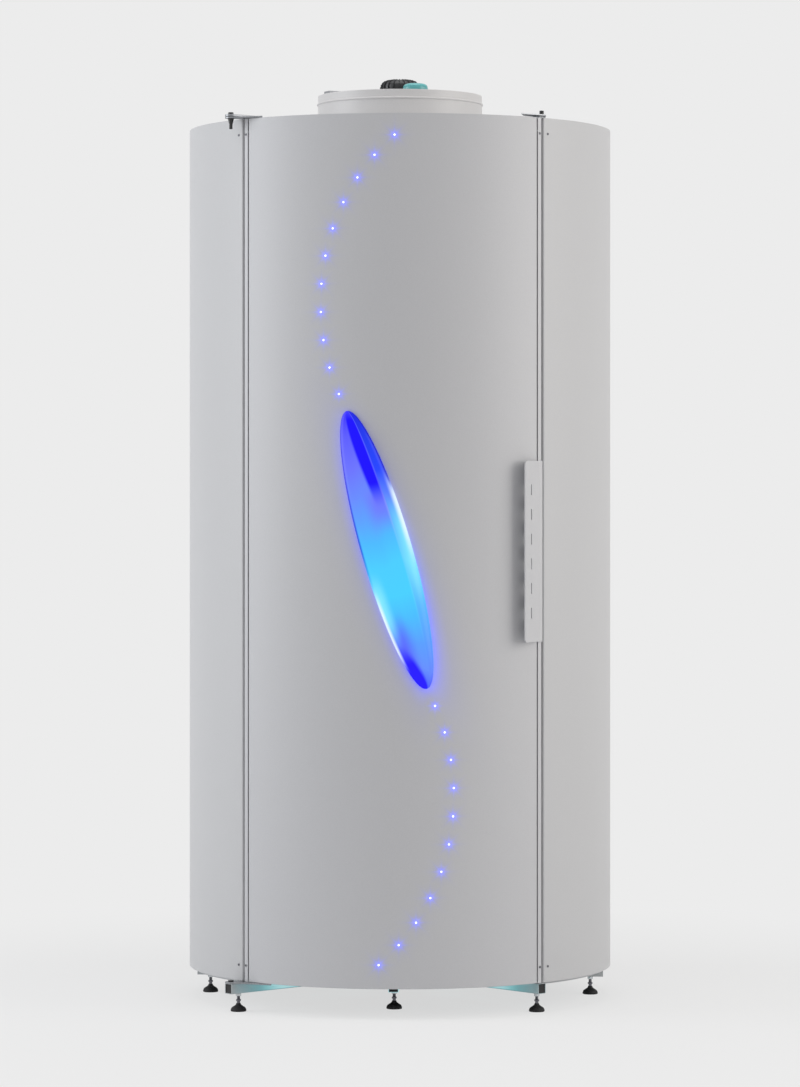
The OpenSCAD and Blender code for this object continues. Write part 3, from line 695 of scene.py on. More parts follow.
@dataclass(frozen=True)
class DoorPaintWithPaintedHalo(PowderCoat):
    """The door's satin powder coat, with a painted halo of the blue light from the lens and the small lights.

    The painted light fades with the distance from the lens's edge and from the nearest small
    light, which are worked out from the place on the door: the angle round the booth and the height.
    """

    pattern: LightPattern = LightPattern()
    radius: float = 525 * MM
    lens_fade: float = 19 * MM
    lens_power: float = 0.38
    lens_power_fall: float = 0.18
    lens_power_twist: float = 0.22
    star_fade: float = 7.6 * MM
    star_rays: float = 0.35
    tint: float = 0.6

    def values(self) -> dict[str, float]:
        """The shader's plain values: a paint with emission, for its painted light."""
        return {"IOR": 1.5, "Emission Strength": 1.0}

    def make(self) -> bpy.types.Material:
        """Makes the material: the paint is mixed towards blue and given blue emission, as painted light.

        Returns:
            The material.
        """
        material, tree, shader = self.start()
        paint = shader.inputs["Base Color"].links[0].from_socket
        where = add(tree, "ShaderNodeTexCoord").outputs["Object"]
        x, y, z = map(Number, add(tree, "ShaderNodeSeparateXYZ", {"Vector": where}).outputs)
        side = x.math("ARCTAN2", y * -1.0) * self.radius - self.pattern.shift
        up = z - self.pattern.height
        glow = self._painted_lens_halo(side, up).math("MAXIMUM", self._painted_star_halo(side, up)).math("MINIMUM", 1.0)
        # Painted light: the paint is mixed towards blue where the halo falls
        base = add(tree, "ShaderNodeMix", {"Factor": (glow * self.tint).socket, "A": paint,
                                           "B": linear("505EF0")}, data_type="RGBA")
        tree.links.new(base.outputs["Result"], shader.inputs["Base Color"])
        # Blue emission of the painted halo, fading out to black
        light = set_stops(add(tree, "ShaderNodeValToRGB", {"Fac": glow.socket}), [
            (0.0, "000000"), (0.1, "080C3A"), (0.4, "2830A8"), (0.7, "4656F0"), (0.95, "94A0FF")])
        tree.links.new(light, shader.inputs["Emission Color"])
        return material

    def _painted_lens_halo(self, side: Number, up: Number) -> Number:
        """Painted light near the lens, e^(-gap / fade), stronger below, upper left and lower right.

        With k the distance from the lens's middle, 1 on its edge, the gap to the edge is about
        k (k - 1) over the length of (u / half width, v / half length).

        Args:
            side: Sideways distance from the pattern's middle.
            up: Height above it.
        Returns:
            The light's strength.
        """
        u, v = self.pattern.on_lens(side, up)
        k = (u * u + v * v).math("SQRT")
        slope_u, slope_v = u / (self.pattern.lens_width / 2), v / (self.pattern.lens_length / 2)
        gap = (k - 1.0) * k / (slope_u * slope_u + slope_v * slope_v).math("SQRT")
        power = self.lens_power - v * self.lens_power_fall - u * v * self.lens_power_twist
        return (gap / -self.lens_fade).math("EXPONENT") * power

    def _painted_star_halo(self, side: Number, up: Number) -> Number:
        """Painted light near the nearest small light, e^(-gap / reach), with eight faint painted rays.

        A half turn puts the lower arc on the upper one. The turn round the arc's middle, rounded to
        whole steps, gives the nearest light, and the reach grows along the rays.

        Args:
            side: Sideways distance from the pattern's middle.
            up: Height above it.
        Returns:
            The light's strength.
        """
        pattern = self.pattern
        first, step = math.radians(pattern.first_turn), math.radians(pattern.turn_step)
        flip = up.math("SIGN")
        out = pattern.arc_side - side * flip
        rise = up * flip - pattern.arc_up
        index = ((first - rise.math("ARCTAN2", out)) / step).math("ROUND")
        turn = first - index.math("MAXIMUM", 0.0).math("MINIMUM", pattern.count - 1.0) * step
        aside = out - turn.math("COSINE") * pattern.arc_radius
        above = rise - turn.math("SINE") * pattern.arc_radius
        gap = (aside * aside + above * above).math("SQRT")
        beam = (above.math("ARCTAN2", aside) * 4.0).math("COSINE")
        reach = ((beam * beam).math("POWER", 4.0) * self.star_rays + 1.0) * self.star_fade
        return (gap / reach * -1.0).math("EXPONENT")


@dataclass(frozen=True)
class FramePaintWithPaintedCyanLight(PowderCoat):
    """The base frame's pale powder coat, with painted cyan light on its sides, for light from under the
    floor.

    The painted light's middle lies ahead of the booth's axis. It fades out from inner to outer.
    """

    low: float = 0.38
    high: float = 0.46
    depth: float = 0.015 * MM
    ahead: float = 150 * MM
    aside: float = -17 * MM
    outer: float = 460 * MM
    inner: float = 280 * MM
    start_from: float = 100 * MM
    start_full: float = 140 * MM

    def values(self) -> dict[str, float]:
        """The shader's plain values: a paint with emission, for its painted light."""
        return {"IOR": 1.5, "Emission Strength": 1.0}

    def make(self) -> bpy.types.Material:
        """Makes the material: faces that look sideways get painted cyan light, and level ones none.

        Returns:
            The material.
        """
        material, tree, shader = self.start()
        where = add(tree, "ShaderNodeTexCoord").outputs["Object"]
        x, y, _ = map(Number, add(tree, "ShaderNodeSeparateXYZ", {"Vector": where}).outputs)
        right, behind = x - self.aside, y + self.ahead
        reach = (right * right + behind * behind).math("SQRT")
        facing = add(tree, "ShaderNodeNewGeometry").outputs["True Normal"]
        up = Number(add(tree, "ShaderNodeSeparateXYZ", {"Vector": facing}).outputs["Z"])
        # Painted cyan light on sideways faces, none near the middle and gone by the outer radius
        glow = (1.0 - up.math("ABSOLUTE")) * reach.fade(self.outer, self.inner)
        glow = glow * reach.fade(self.start_from, self.start_full)
        tint = set_stops(add(tree, "ShaderNodeValToRGB", {"Fac": glow.socket}), [
            (0.0, "000000"), (0.06, "1A444A"), (0.25, "10585E"), (0.58, "08747A"), (0.76, "4A989C"),
            (1.0, "8EBEC2")])
        tree.links.new(tint, shader.inputs["Emission Color"])
        return material


@dataclass(frozen=True)
class Patch:
    """A patch of colour on the lens, which fades in across it and between two places along it.

    Each pair is where the patch is nothing and where it is full. Its side moves over by the slant
    for each lens length down.
    """

    tint: str
    across: tuple[float, float]
    start: tuple[float, float] = (-1.0, -0.5)
    end: tuple[float, float] = (2.0, 1.5)
    slant: float = 0.0
    strength: float = 1.0

    def layer(self, u: Number, down: Number) -> tuple[Number, tuple]:
        """How strong the patch is at a place across the lens and down it, and its linear colour."""
        side = (u + down * self.slant).fade(*self.across)
        return side * down.fade(*self.start) * down.fade(*self.end) * self.strength, linear(self.tint)


@dataclass(frozen=True)
class LitLens:
    """Vacuum formed acrylic lens lit from behind: violet and deep blue above, cyan in its lower middle.

    The lens's own map runs from 0 to 1 across, left to right, and from 0 to 1 along, bottom to top.
    Down is 0 at the top tip. A crease right of the middle parts the face from a narrow facet.
    """

    name: str = "lit_blue_lens"
    facet_start: float = 0.77
    facet_blur: float = 0.02
    crease_width: float = 0.035
    crease_painted_highlight: float = 0.14
    # How far the colours waver along the lens
    waver: float = 0.05
    # On the face: a violet patch, a deep blue wedge, the wedge's soft fringe and a wedge at the foot
    face: tuple[Patch, ...] = (
        Patch("7468FF", (0.25, 0.6), (0.27, 0.33), (0.46, 0.35), 0.0, 0.65),
        Patch("1500FF", (0.29, 0.38), (0.0, 0.04), (0.36, 0.26), -0.7),
        Patch("5A4CFF", (0.62, 0.2), (0.71, 0.82), strength=0.75),
        Patch("2414FF", (-1.6, -1.78), (0.82, 0.9), slant=-2.3))
    # Over face and facet: painted highlights, a soft and a sharp one on either side, and a dark rim on either
    # side
    edges: tuple[Patch, ...] = (
        Patch("86EAFF", (0.72, 0.92), (0.3, 0.45), (0.74, 0.55), 0.0, 0.75),
        Patch("90F0FF", (0.3, 0.08), (0.55, 0.67), (0.86, 0.72), 0.0, 0.75),
        Patch("ECFDFF", (0.88, 0.985), (0.23, 0.34), (0.6, 0.42), 0.0, 0.9),
        Patch("F0FFFC", (0.1, 0.02), (0.6, 0.72), (0.93, 0.84), 0.0, 0.85),
        Patch("1C10D8", (0.06, 0.016), end=(0.66, 0.46), strength=0.8),
        Patch("1810B8", (0.94, 0.985), end=(0.32, 0.25), strength=0.7))
    # Colours from the top tip down, on the face and on the facet
    face_stops: tuple = (
        (0.0, "3A30F8"), (0.08, "5C5CFF"), (0.2, "6C74FF"), (0.3, "688CFF"), (0.38, "5CA2FF"),
        (0.46, "4CBAFF"), (0.55, "4ACEFF"), (0.66, "48D0FF"), (0.74, "4ABEFF"), (0.84, "5A9EFF"),
        (0.93, "6690FF"), (1.0, "4A58FF"))
    facet_stops: tuple = (
        (0.0, "1A20E0"), (0.12, "1E3CF0"), (0.22, "2244FF"), (0.32, "5E86FF"), (0.42, "58B4FF"),
        (0.56, "66D4FF"), (0.7, "56BAFF"), (0.85, "5A9AFF"), (0.95, "6688FF"), (1.0, "4A50FF"))

    def make(self) -> bpy.types.Material:
        """Makes the material: layers of colour, each mixed over the one before.

        Returns:
            The material.
        """
        material, tree, shader = new_material(self.name, {
            "IOR": 1.46, "Roughness": 0.16, "Emission Strength": 1.0, "Base Color": linear("04061C"),
            "Specular IOR Level": 0.15})
        where = add(tree, "ShaderNodeUVMap", uv_map="lens").outputs["UV"]
        u, along, _ = map(Number, add(tree, "ShaderNodeSeparateXYZ", {"Vector": where}).outputs)
        noise = add(tree, "ShaderNodeTexNoise", {"Vector": where, "Scale": 3.0, "Detail": 1.0})
        down = 1.0 - along + (Number(noise.outputs["Fac"]) - 0.5) * self.waver
        colour, facet_colour = (set_stops(add(tree, "ShaderNodeValToRGB", {"Fac": down.socket}), stops)
                                for stops in (self.face_stops, self.facet_stops))
        facet = u.fade(self.facet_start, self.facet_start + self.facet_blur)
        # The crease: a pale line along the ridge, a painted highlight that fades towards the foot
        crease = u.fade(self.facet_start - self.crease_width, self.facet_start) * (1.0 - facet)
        crease = crease * down.fade(0.98, 0.3) * self.crease_painted_highlight
        layers = [patch.layer(u, down) for patch in self.face]
        layers += [(facet, facet_colour), (crease, linear("C8E4FF"))]
        layers += [patch.layer(u, down) for patch in self.edges]
        for share, tint in layers:
            inputs = {"Factor": share.socket, "A": colour, "B": tint}
            colour = add(tree, "ShaderNodeMix", inputs, data_type="RGBA").outputs["Result"]
        tree.links.new(colour, shader.inputs["Emission Color"])
        return material


@dataclass(frozen=True)
class SmallLight:
    """Cast clear epoxy over a blue light: a white core that turns blue at its rim."""

    name: str = "small_blue_light"

    def make(self) -> bpy.types.Material:
        """Makes the material: its glow runs from the core to the rim with the angle of view.

        Returns:
            The material.
        """
        values = {"IOR": 1.5, "Roughness": 0.1, "Emission Strength": 1.6}
        material, tree, shader = new_material(self.name, values)
        facing = add(tree, "ShaderNodeLayerWeight", {"Blend": 0.4})
        glow = set_stops(add(tree, "ShaderNodeValToRGB", {"Fac": facing.outputs["Facing"]}),
                         [(0.0, "FFFFFF"), (0.3, "D8E0FF"), (0.8, "5C6CFF")])
        tree.links.new(glow, shader.inputs["Emission Color"])
        tree.links.new(glow, shader.inputs["Base Color"])
        return material


# Black rubber with a dull, matt texture, drawn 1.2 mm wide
BLACK_RUBBER = Moulded("black_rubber", "0F0F11", "0A0A0C", 0.67, 0.77, 1.2 * MM, 0.03 * MM)


class Finish(Enum):
    """Every finish on the booth: the record's slot that it belongs to, and its look."""

    # Powder coated sheet steel of the shell: satin silver grey, so that the round shell shades softly
    SHELL = "shell_paint", PowderCoat("silver_grey_powder_coat", "C6C6C8", "C2C2C4")
    # The door's sheet, in the same coat, with painted blue light round its lens and small lights
    DOOR = "shell_paint", DoorPaintWithPaintedHalo("door_powder_coat_with_painted_halo", "C6C6C9", "C2C2C5")
    # Powder coated strips and handle: paler and a little smoother, so that they stand out from the shell
    STRIP = "strip_paint", PowderCoat("pale_grey_powder_coat", "C8C8CB", "C4C4C7", 0.37, 0.44)
    # Powder coated posts, rings, trays and roof: a plain light grey
    FRAME = "frame_paint", PowderCoat("frame_powder_coat", "C4C6C9", "BEC0C3", 0.39, 0.46)
    # Powder coated square tubes of the base: a pale grey, with painted cyan light on their sides
    # Their grey is darker than the frame's: painted shade, for the shadow under the booth
    SPOKES = "frame_paint", FramePaintWithPaintedCyanLight("base_frame_paint_painted_light_and_shade", "B8BCBE", "B2B6B8")
    # Sprayed enamel on the spun outlet and the grille: a warm, pale satin
    FAN_PAINT = "fan_paint", PowderCoat("warm_grey_fan_paint", "D8D6D6", "D4D2D2", 0.39, 0.46)
    # Zinc plated sheet steel of the hinges: a dull bluish metal
    ZINC = "zinc_steel", BareMetal("zinc_plated_steel", "9C9EA2", "84868A", 0.3, 0.44)
    # Bright zinc plated nuts, turned and milled: a paler and sharper shine
    NUT = "zinc_steel", BareMetal("bright_zinc_nut", "CED2D4", "AEB2B6", 0.2, 0.3)
    # Polished stainless tube of the rails: a clear, narrow highlight along the tube
    POLISHED = "polished_steel", BareMetal("polished_stainless_tube", "D6D6D8", "C6C6C8", 0.14, 0.22)
    # Dark plated screws, cold headed: small, with a muted shine
    SCREW = "screw_steel", BareMetal("dark_plated_screw", "74747A", "5C5C62", 0.3, 0.45)
    # Black oxidised steel of the hinge pins: nearly black, with an oily shine from its thin coat
    BLACK_STEEL = "black_steel", Moulded("black_oxide_steel", "17171A", "101012", 0.33, 0.43,
                                         depth=0.01 * MM, coat=0.2)
    # Moulded nylon of the end caps, the knob, the switch and the gland: black, softly textured
    BLACK_PLASTIC = "black_plastic", Moulded("black_moulded_plastic", "111114", "0C0C0E")
    # Moulded rubber pads of the feet: black, and so dull that they hardly show a highlight
    PAD = "foot_plastic", BLACK_RUBBER
    # Extruded rubber of the door's seals: the same dull black
    SEAL = "rubber", BLACK_RUBBER
    # Moulded rubber mat: a dull charcoal, with a grain of 1.5 mm that shows underfoot
    MAT = "rubber", Moulded("charcoal_rubber_mat", "2B2D30", "222427", 0.63, 0.73, 1.5 * MM, 0.04 * MM)
    DECK = "deck_board", Laminate()
    # Bright rolled aluminium behind the lamps: nearly a mirror, with rolling lines drawn 2 mm apart
    REFLECTOR = "reflector_aluminium", BareMetal("bright_rolled_aluminium", "E2E3E5", "D4D5D8", 0.16, 0.26,
                                                 2 * MM, stretch=(1, 1, 30))
    # Pressed aluminium caps of the lamps: a softer shine, with short marks drawn 1 mm apart
    LAMP_CAP = "reflector_aluminium", BareMetal("pressed_aluminium_cap", "D0D1D4", "BFC0C4", 0.28, 0.4,
                                                1 * MM, stretch=(1, 1, 4))
    LAMP = "lamp_glass", LampGlass()
    ACRYLIC = "clear_acrylic", ClearAcrylic()
    # Moulded ABS of the pod and the lampholders: off-white, with a light gloss
    WHITE = "white_plastic", Moulded("white_moulded_plastic", "ECEBE7", "E6E5E1", 0.31, 0.41,
                                     depth=0.01 * MM, coat=0.2)
    # Moulded polycarbonate buttons: deep colours under a clear gloss
    GREEN = "button_green", Moulded("green_button_plastic", "1FA04A", "1B9644", 0.19, 0.29,
                                    depth=0.005 * MM, coat=0.6)
    RED = "button_red", Moulded("red_button_plastic", "C81E1A", "BC1A17", 0.19, 0.29,
                                depth=0.005 * MM, coat=0.6)
    # Baked enamel on the cast motor and the impeller: black, over the roughness of the casting
    MOTOR = "motor_black", Moulded("black_motor_enamel", "242428", "1A1A1D", 0.35, 0.45, 0.9 * MM,
                                   0.03 * MM, coat=0.15)
    # Moulded ABS of the motor's terminal box, with a light gloss: its flat teal is painted teal light
    TEAL = "teal_plastic", Moulded("pale_plastic_painted_teal_light", "62BCBE", "58B2B4", 0.29, 0.39,
                                   depth=0.01 * MM, coat=0.3)
    # Enamelled steel of the ballasts and the terminal box: a mid grey satin
    GREY_STEEL = "grey_steel", PowderCoat("grey_enamelled_steel", "6C6E70", "646668", 0.47, 0.54)
    LENS = "lens_blue", LitLens()
    LIGHT = "led_blue", SmallLight()

    def __init__(self, slot: str, look: Grained | LitLens | SmallLight) -> None:
        """Keeps the slot and the look."""
        self.slot, self.look = slot, look

    def material(self) -> bpy.types.Material:
        """The finish's material, made the first time it is asked for."""
        return bpy.data.materials.get(self.look.name) or self.look.make()


def dress(piece: bpy.types.Object, finish: Finish, body: str, *nodes: str) -> None:
    """Gives a new piece its finish and body, and hides the nodes that it stands for.

    Args:
        piece: The piece.
        finish: Its finish.
        body: The body that it rides on.
        nodes: The nodes that it stands for.
    """
    piece.data.materials.clear()
    piece.data.materials.append(finish.material())
    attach(piece, body)
    if nodes:
        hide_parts(*nodes)
    LOG.info("%s: %d points, on %s", piece.name, len(piece.data.vertices), body)


def soften_node(node: str, finish: Finish, width: float, segments: int = 2, body: str = "base") -> None:
    """Replaces a node by a merged copy of itself with softened edges.

    Args:
        node: The node to copy.
        finish: Finish of the copy.
        width: Width of the softened edges.
        segments: Steps across each softened edge.
        body: The body that it rides on.
    """
    mesh = frame["nodes"][node].data.copy()
    mesh.name = node + "_softened"
    tidy_mesh(mesh, planar=True)
    piece = new_piece(node + "_softened", mesh)
    bevel(piece, width, segments, 35)
    dress(piece, finish, body, node)


@dataclass(frozen=True)
class Plan:
    """Sizes that several sub-assemblies share, read from the frame where it states them."""

    radius: float = field(default_factory=lambda: round(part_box("rear_panel")[1].y, 5))
    low: float = field(default_factory=lambda: span("rear_panel")[0])
    high: float = field(default_factory=lambda: span("rear_panel")[1])
    sheet: float = 2 * MM
    edge: float = 0.5 * MM
    door_half: float = 43.0
    front_post: float = 45.3
    rear_post: float = 135.0
    screw_inset: float = 38 * MM

    def degrees(self, length: float) -> float:
        """The angle that a length along the shell takes up."""
        return math.degrees(length / self.radius)

    def screws(self, surface: Surface, angle: float) -> None:
        """Adds two small domed screws with six-sided sockets, near the shell's lower and upper edge.

        Args:
            surface: The surface to add to.
            angle: Angle round the booth at which they stand.
        """
        profile = mm((0, -2), (2, -2), (2, 0.3), (3, 0.3), (3, 0.7), (2.75, 1.15), (2.2, 1.45), (1.6, 1.5))
        screw = socket_head(profile, 1.1 * MM, 0.5 * MM, 0.4 * MM)
        for height in (self.low + self.screw_inset, self.high - self.screw_inset):
            surface.outward(screw, angle, self.radius, height)


@dataclass
class Shell:
    """The three fixed quarter panels and their screws."""

    plan: Plan
    door_gap: float = 6 * MM
    rear_seam: float = 3 * MM
    fold_depth: float = 13 * MM
    fold_width: float = 24 * MM
    bend: float = 2.5 * MM
    front_inset: float = 14 * MM
    rear_inset: float = 6.5 * MM

    def spans(self) -> dict[str, tuple[float, float, float, float]]:
        """Where each panel and its screws stand.

        Returns:
            Each panel's start and end angle, and its screws' distances from these edges.
        """
        front = self.plan.door_half + self.plan.degrees(self.door_gap)
        half_seam = self.plan.degrees(self.rear_seam / 2)
        end, start = self.plan.rear_post - half_seam, self.plan.rear_post + half_seam
        return {"left_panel": (-end, -front, self.rear_inset, self.front_inset),
                "right_panel": (front, end, self.front_inset, self.rear_inset),
                "rear_panel": (start, 360 - start, self.rear_inset, self.rear_inset)}

    def panel_path(self, start: float, end: float) -> np.ndarray:
        """Plan path of a panel's sheet: fold, side, shell, side, fold, with bent corners.

        Args:
            start: Angle of the panel's first edge.
            end: Angle of its last edge.
        Returns:
            The path's points.
        """
        half = self.plan.sheet / 2
        outer = self.plan.radius - half
        inner = outer - self.fold_depth
        edge, fold = self.plan.degrees(half), self.plan.degrees(self.fold_width)
        first = np.concatenate([on_circle(np.array([start + fold, start + edge]), inner),
                                on_circle(np.array([start + edge, start + fold]), outer)])
        last = np.concatenate([on_circle(np.array([end - fold, end - edge]), outer),
                               on_circle(np.array([end - edge, end - fold]), inner)])
        shell = arc(outer, start + fold, end - fold)[1:-1]
        return np.concatenate([rounded(first, self.bend), shell, rounded(last, self.bend)])

    def build(self) -> None:
        """Makes the panels and their screws."""
        plan, screws = self.plan, Surface()
        for name, (start, end, inset0, inset1) in self.spans().items():
            surface = Surface()
            surface.sheet(self.panel_path(start, end), plan.sheet, plan.low, plan.high)
            surface.dress(name + "_sheet", Finish.SHELL, "base", name, edge=plan.edge)
            for angle in (start + plan.degrees(inset0), end - plan.degrees(inset1)):
                plan.screws(screws, angle)
        screws.dress("panel_screw_heads", Finish.SCREW, "base", "panel_screws")


@dataclass
class Door:
    """The curved door: skin, strips, handle, lens, small lights and hinge arms."""

    plan: Plan
    pattern: LightPattern
    strip_width: float = 12 * MM
    strip_gap: float = 2.3 * MM
    turn_in: float = 9 * MM
    web_end: float = 400 * MM
    handle_length: float = 434 * MM
    handle_sheet: float = 3 * MM
    handle_corner: float = 11 * MM
    handle_bend: float = 6 * MM
    flange_width: float = 11 * MM
    grip_width: float = 69 * MM
    grip_lean: float = 20.0
    slots: int = 6
    slot_pitch: float = 434 / 7.35 * MM
    slot_side: float = 31 * MM
    slot_size: tuple[float, float] = (5 * MM, 27 * MM)
    lens_rise: float = 22 * MM
    lens_rim: float = 1.2 * MM
    crease: float = 0.52
    light_radius: float = 2.55 * MM
    light_dome: float = 1.6 * MM

    def build(self) -> None:
        """Makes the door's pieces."""
        self._skin()
        self._strips()
        self._handle()
        self._lens()
        self._lights()
        soften_node("door_hinge_arms", Finish.ZINC, 0.6 * MM, body="door")

    def _skin(self) -> None:
        """The door's front sheet, turned in along both upright edges."""
        plan, half = self.plan, self.plan.sheet / 2
        edge = plan.door_half - plan.degrees(self.strip_width + self.strip_gap + half)
        outer, inner = plan.radius - half, plan.radius - half - self.turn_in
        # The shell's arc starts 3 degrees in from the turned edge
        corner = np.stack([on_circle(-edge, inner), on_circle(-edge, outer), on_circle(3 - edge, outer)])
        start = rounded(corner, 2 * MM)
        end = rounded(corner[::-1] * [-1, 1], 2 * MM)
        surface = Surface()
        shell = arc(outer, 3 - edge, edge - 3)[1:-1]
        surface.sheet(np.concatenate([start, shell, end]), plan.sheet, plan.low, plan.high)
        surface.dress("door_front_sheet", Finish.DOOR, "door", "door_skin", edge=plan.edge)

    def _strips(self) -> None:
        """The two upright strips, each folded back to close the door's side, and their screws."""
        plan, half = self.plan, self.plan.sheet / 2
        surface, screws = Surface(), Surface()
        inner_edge = plan.door_half - plan.degrees(self.strip_width)
        corner = plan.door_half - plan.degrees(half)
        for side in (-1, 1):
            points = on_circle(side * np.array([inner_edge, corner, corner]), plan.radius - half)
            points[2] = on_circle(side * corner, self.web_end)
            surface.sheet(rounded(points, 1.8 * MM), plan.sheet, span("door_stiles")[0], plan.high)
            plan.screws(screws, side * self._strip_middle())
        surface.dress("door_edge_strips", Finish.STRIP, "door", "door_stiles", edge=0.4 * MM)
        screws.dress("door_screw_heads", Finish.SCREW, "door", "door_screws")

    def _strip_middle(self) -> float:
        """Angle of the middle of the right strip."""
        return self.plan.door_half - self.plan.degrees(self.strip_width / 2)

    def _handle_outline(self) -> list[np.ndarray]:
        """The handle's flat blank, with its free corners rounded.

        Returns:
            The outline and the outline of each round-ended slot.
        """
        width, height = self.grip_width + self.flange_width, self.handle_length
        low_left = self.handle_corner - circle(self.handle_corner, np.radians(np.linspace(0, 90, 9)))
        high_left = low_left[::-1] * [1, -1] + [0, height]
        outline = np.concatenate([low_left, [[width, 0], [width, height]], high_left])
        half_w, half_l = np.array(self.slot_size) / 2
        cap = circle(half_w, np.radians(np.linspace(0, 180, 9))) + [0, half_l - half_w]
        slot = np.concatenate([cap, -cap])
        steps = np.arange(self.slots) - (self.slots - 1) / 2
        return [outline] + [slot + [self.slot_side, height / 2 + step * self.slot_pitch] for step in steps]

    def _handle(self) -> None:
        """The bent handle: a flat blank with slots, bent by carrying each point round the bend.

        Past the bend's start, a point's distance s turns into (R sin(s/R), R - R cos(s/R)) up to
        the full lean and runs straight on from there.
        """
        flat = [[Vector((x, y, 0)) for x, y in loop] for loop in self._handle_outline()]
        blank = bmesh.new()
        verts = [blank.verts.new(point) for loop in flat for point in loop]
        for corners in tessellate_polygon(flat):
            blank.faces.new([verts[i] for i in corners])
        radius, lean = self.handle_bend, math.radians(self.grip_lean)
        for cut in np.linspace(self.grip_width - radius * lean, self.grip_width, 5):
            bmesh.ops.bisect_plane(blank, geom=blank.verts[:] + blank.edges[:] + blank.faces[:],
                                   plane_co=(cut, 0, 0), plane_no=(1, 0, 0))
        mesh = bpy.data.meshes.new("door_handle_plate")
        bmesh.ops.recalc_face_normals(blank, faces=blank.faces)
        blank.to_mesh(mesh)
        blank.free()
        points = np.zeros(len(mesh.vertices) * 3)
        mesh.vertices.foreach_get("co", points)
        x, up, _ = points.reshape(-1, 3).T
        run = self.grip_width - x
        turn = np.clip(run / radius, 0, lean)
        past = np.maximum(run - radius * lean, 0)
        side = np.where(run < 0, run, radius * np.sin(turn) + past * math.cos(lean))
        out = np.where(run < 0, 0, radius * (1 - np.cos(turn)) + past * math.sin(lean))
        local = np.stack([-self.flange_width / 2 - side, -out - self.handle_sheet / 2, up], -1)
        spot = place(local, self._strip_middle(), self.plan.radius + SEAT, span("door_handle")[0])
        mesh.vertices.foreach_set("co", spot.astype(np.float32).ravel())
        mesh.update()
        piece = new_piece("door_handle_plate", mesh)
        wall = piece.modifiers.new("sheet", "SOLIDIFY")
        wall.thickness = self.handle_sheet
        wall.offset = 0
        bevel(piece, self.plan.edge, 2, 50)
        dress(piece, Finish.STRIP, "door", "door_handle")

    def _lens(self) -> None:
        """The lens: a blister with a ridge right of its middle.

        A point's place along is v and across is u, both from -1 to 1. Its height is
        rim + rise (1 - |d|^1.5)^0.6 (1 - v^2)^0.4, where d goes from 0 on the ridge to 1 on the edge.
        The rise stays half a millimetre under the frame's lens.
        """
        pattern, crease = self.pattern, self.crease
        u = np.sin(np.linspace(-np.pi / 2, np.pi / 2, 49))[None, :]
        v = np.sin(np.linspace(-np.pi / 2, np.pi / 2, 129))[:, None]
        wide = np.sqrt(np.clip(1 - v ** 2, 0, 1))
        away = np.where(u < crease, (crease - u) / (1 + crease), (u - crease) / (1 - crease))
        swell = np.clip(1 - np.abs(away) ** 1.5, 0, 1) ** 0.6 * wide ** 0.8
        out = self.lens_rim * (wide > 0) + (self.lens_rise - self.lens_rim - 0.5 * MM) * swell
        across, along = u * wide * pattern.lens_width / 2, v * pattern.lens_length / 2 + 0 * u
        tilt = math.radians(pattern.lens_tilt)
        side = pattern.shift + across * math.cos(tilt) - along * math.sin(tilt)
        up = pattern.height + across * math.sin(tilt) + along * math.cos(tilt)
        surface, skins = Surface(), []
        for lift in (out, 0 * out):
            plan_points = on_circle(np.degrees(side / self.plan.radius), self.plan.radius + SEAT + lift)
            skins.append(np.concatenate([plan_points, up[..., None]], -1))
            surface.grid(skins[-1])
        for edge in (0, -1):
            surface.grid(np.stack([skin[:, edge] for skin in skins], 1))
        self._lens_map(surface.dress("lit_lens_shell", Finish.LENS, "door", "lens").data)

    def _lens_map(self, mesh: bpy.types.Mesh) -> None:
        """Gives the lens its own map: a point's u and v on the lens, from -1..1 to 0..1.

        Across, u is first divided by the lens's half width there, (1 - v^2)^0.5.

        Args:
            mesh: The lens's mesh.
        """
        points = np.zeros(len(mesh.vertices) * 3)
        mesh.vertices.foreach_get("co", points)
        x, y, z = points.reshape(-1, 3).T
        side = np.arctan2(x, -y) * self.plan.radius - self.pattern.shift
        u, v = self.pattern.on_lens(side, z - self.pattern.height)
        across = np.clip(u / np.sqrt(np.clip(1 - v ** 2, 1e-6, 1)), -1, 1)
        corner = np.zeros(len(mesh.loops), dtype=np.int32)
        mesh.loops.foreach_get("vertex_index", corner)
        where = (0.5 + 0.5 * np.stack([across, v], -1))[corner]
        mesh.uv_layers.new(name="lens").data.foreach_set("uv", where.astype(np.float32).ravel())

    def _lights(self) -> None:
        """The small lights: a domed cap in each hole of the door."""
        size = self.light_radius
        dome = circle(1, np.radians(np.linspace(0, 90, 6))) * [size, self.light_dome] + [0, 0.2 * MM]
        cap = turned(np.concatenate([[(0, -2 * MM), (size, -2 * MM)], dome]), 20)
        surface = Surface()
        for side, height in self.pattern.lights():
            surface.outward(cap, self.plan.degrees(side), self.plan.radius, height)
        surface.dress("small_light_caps", Finish.LIGHT, "door")


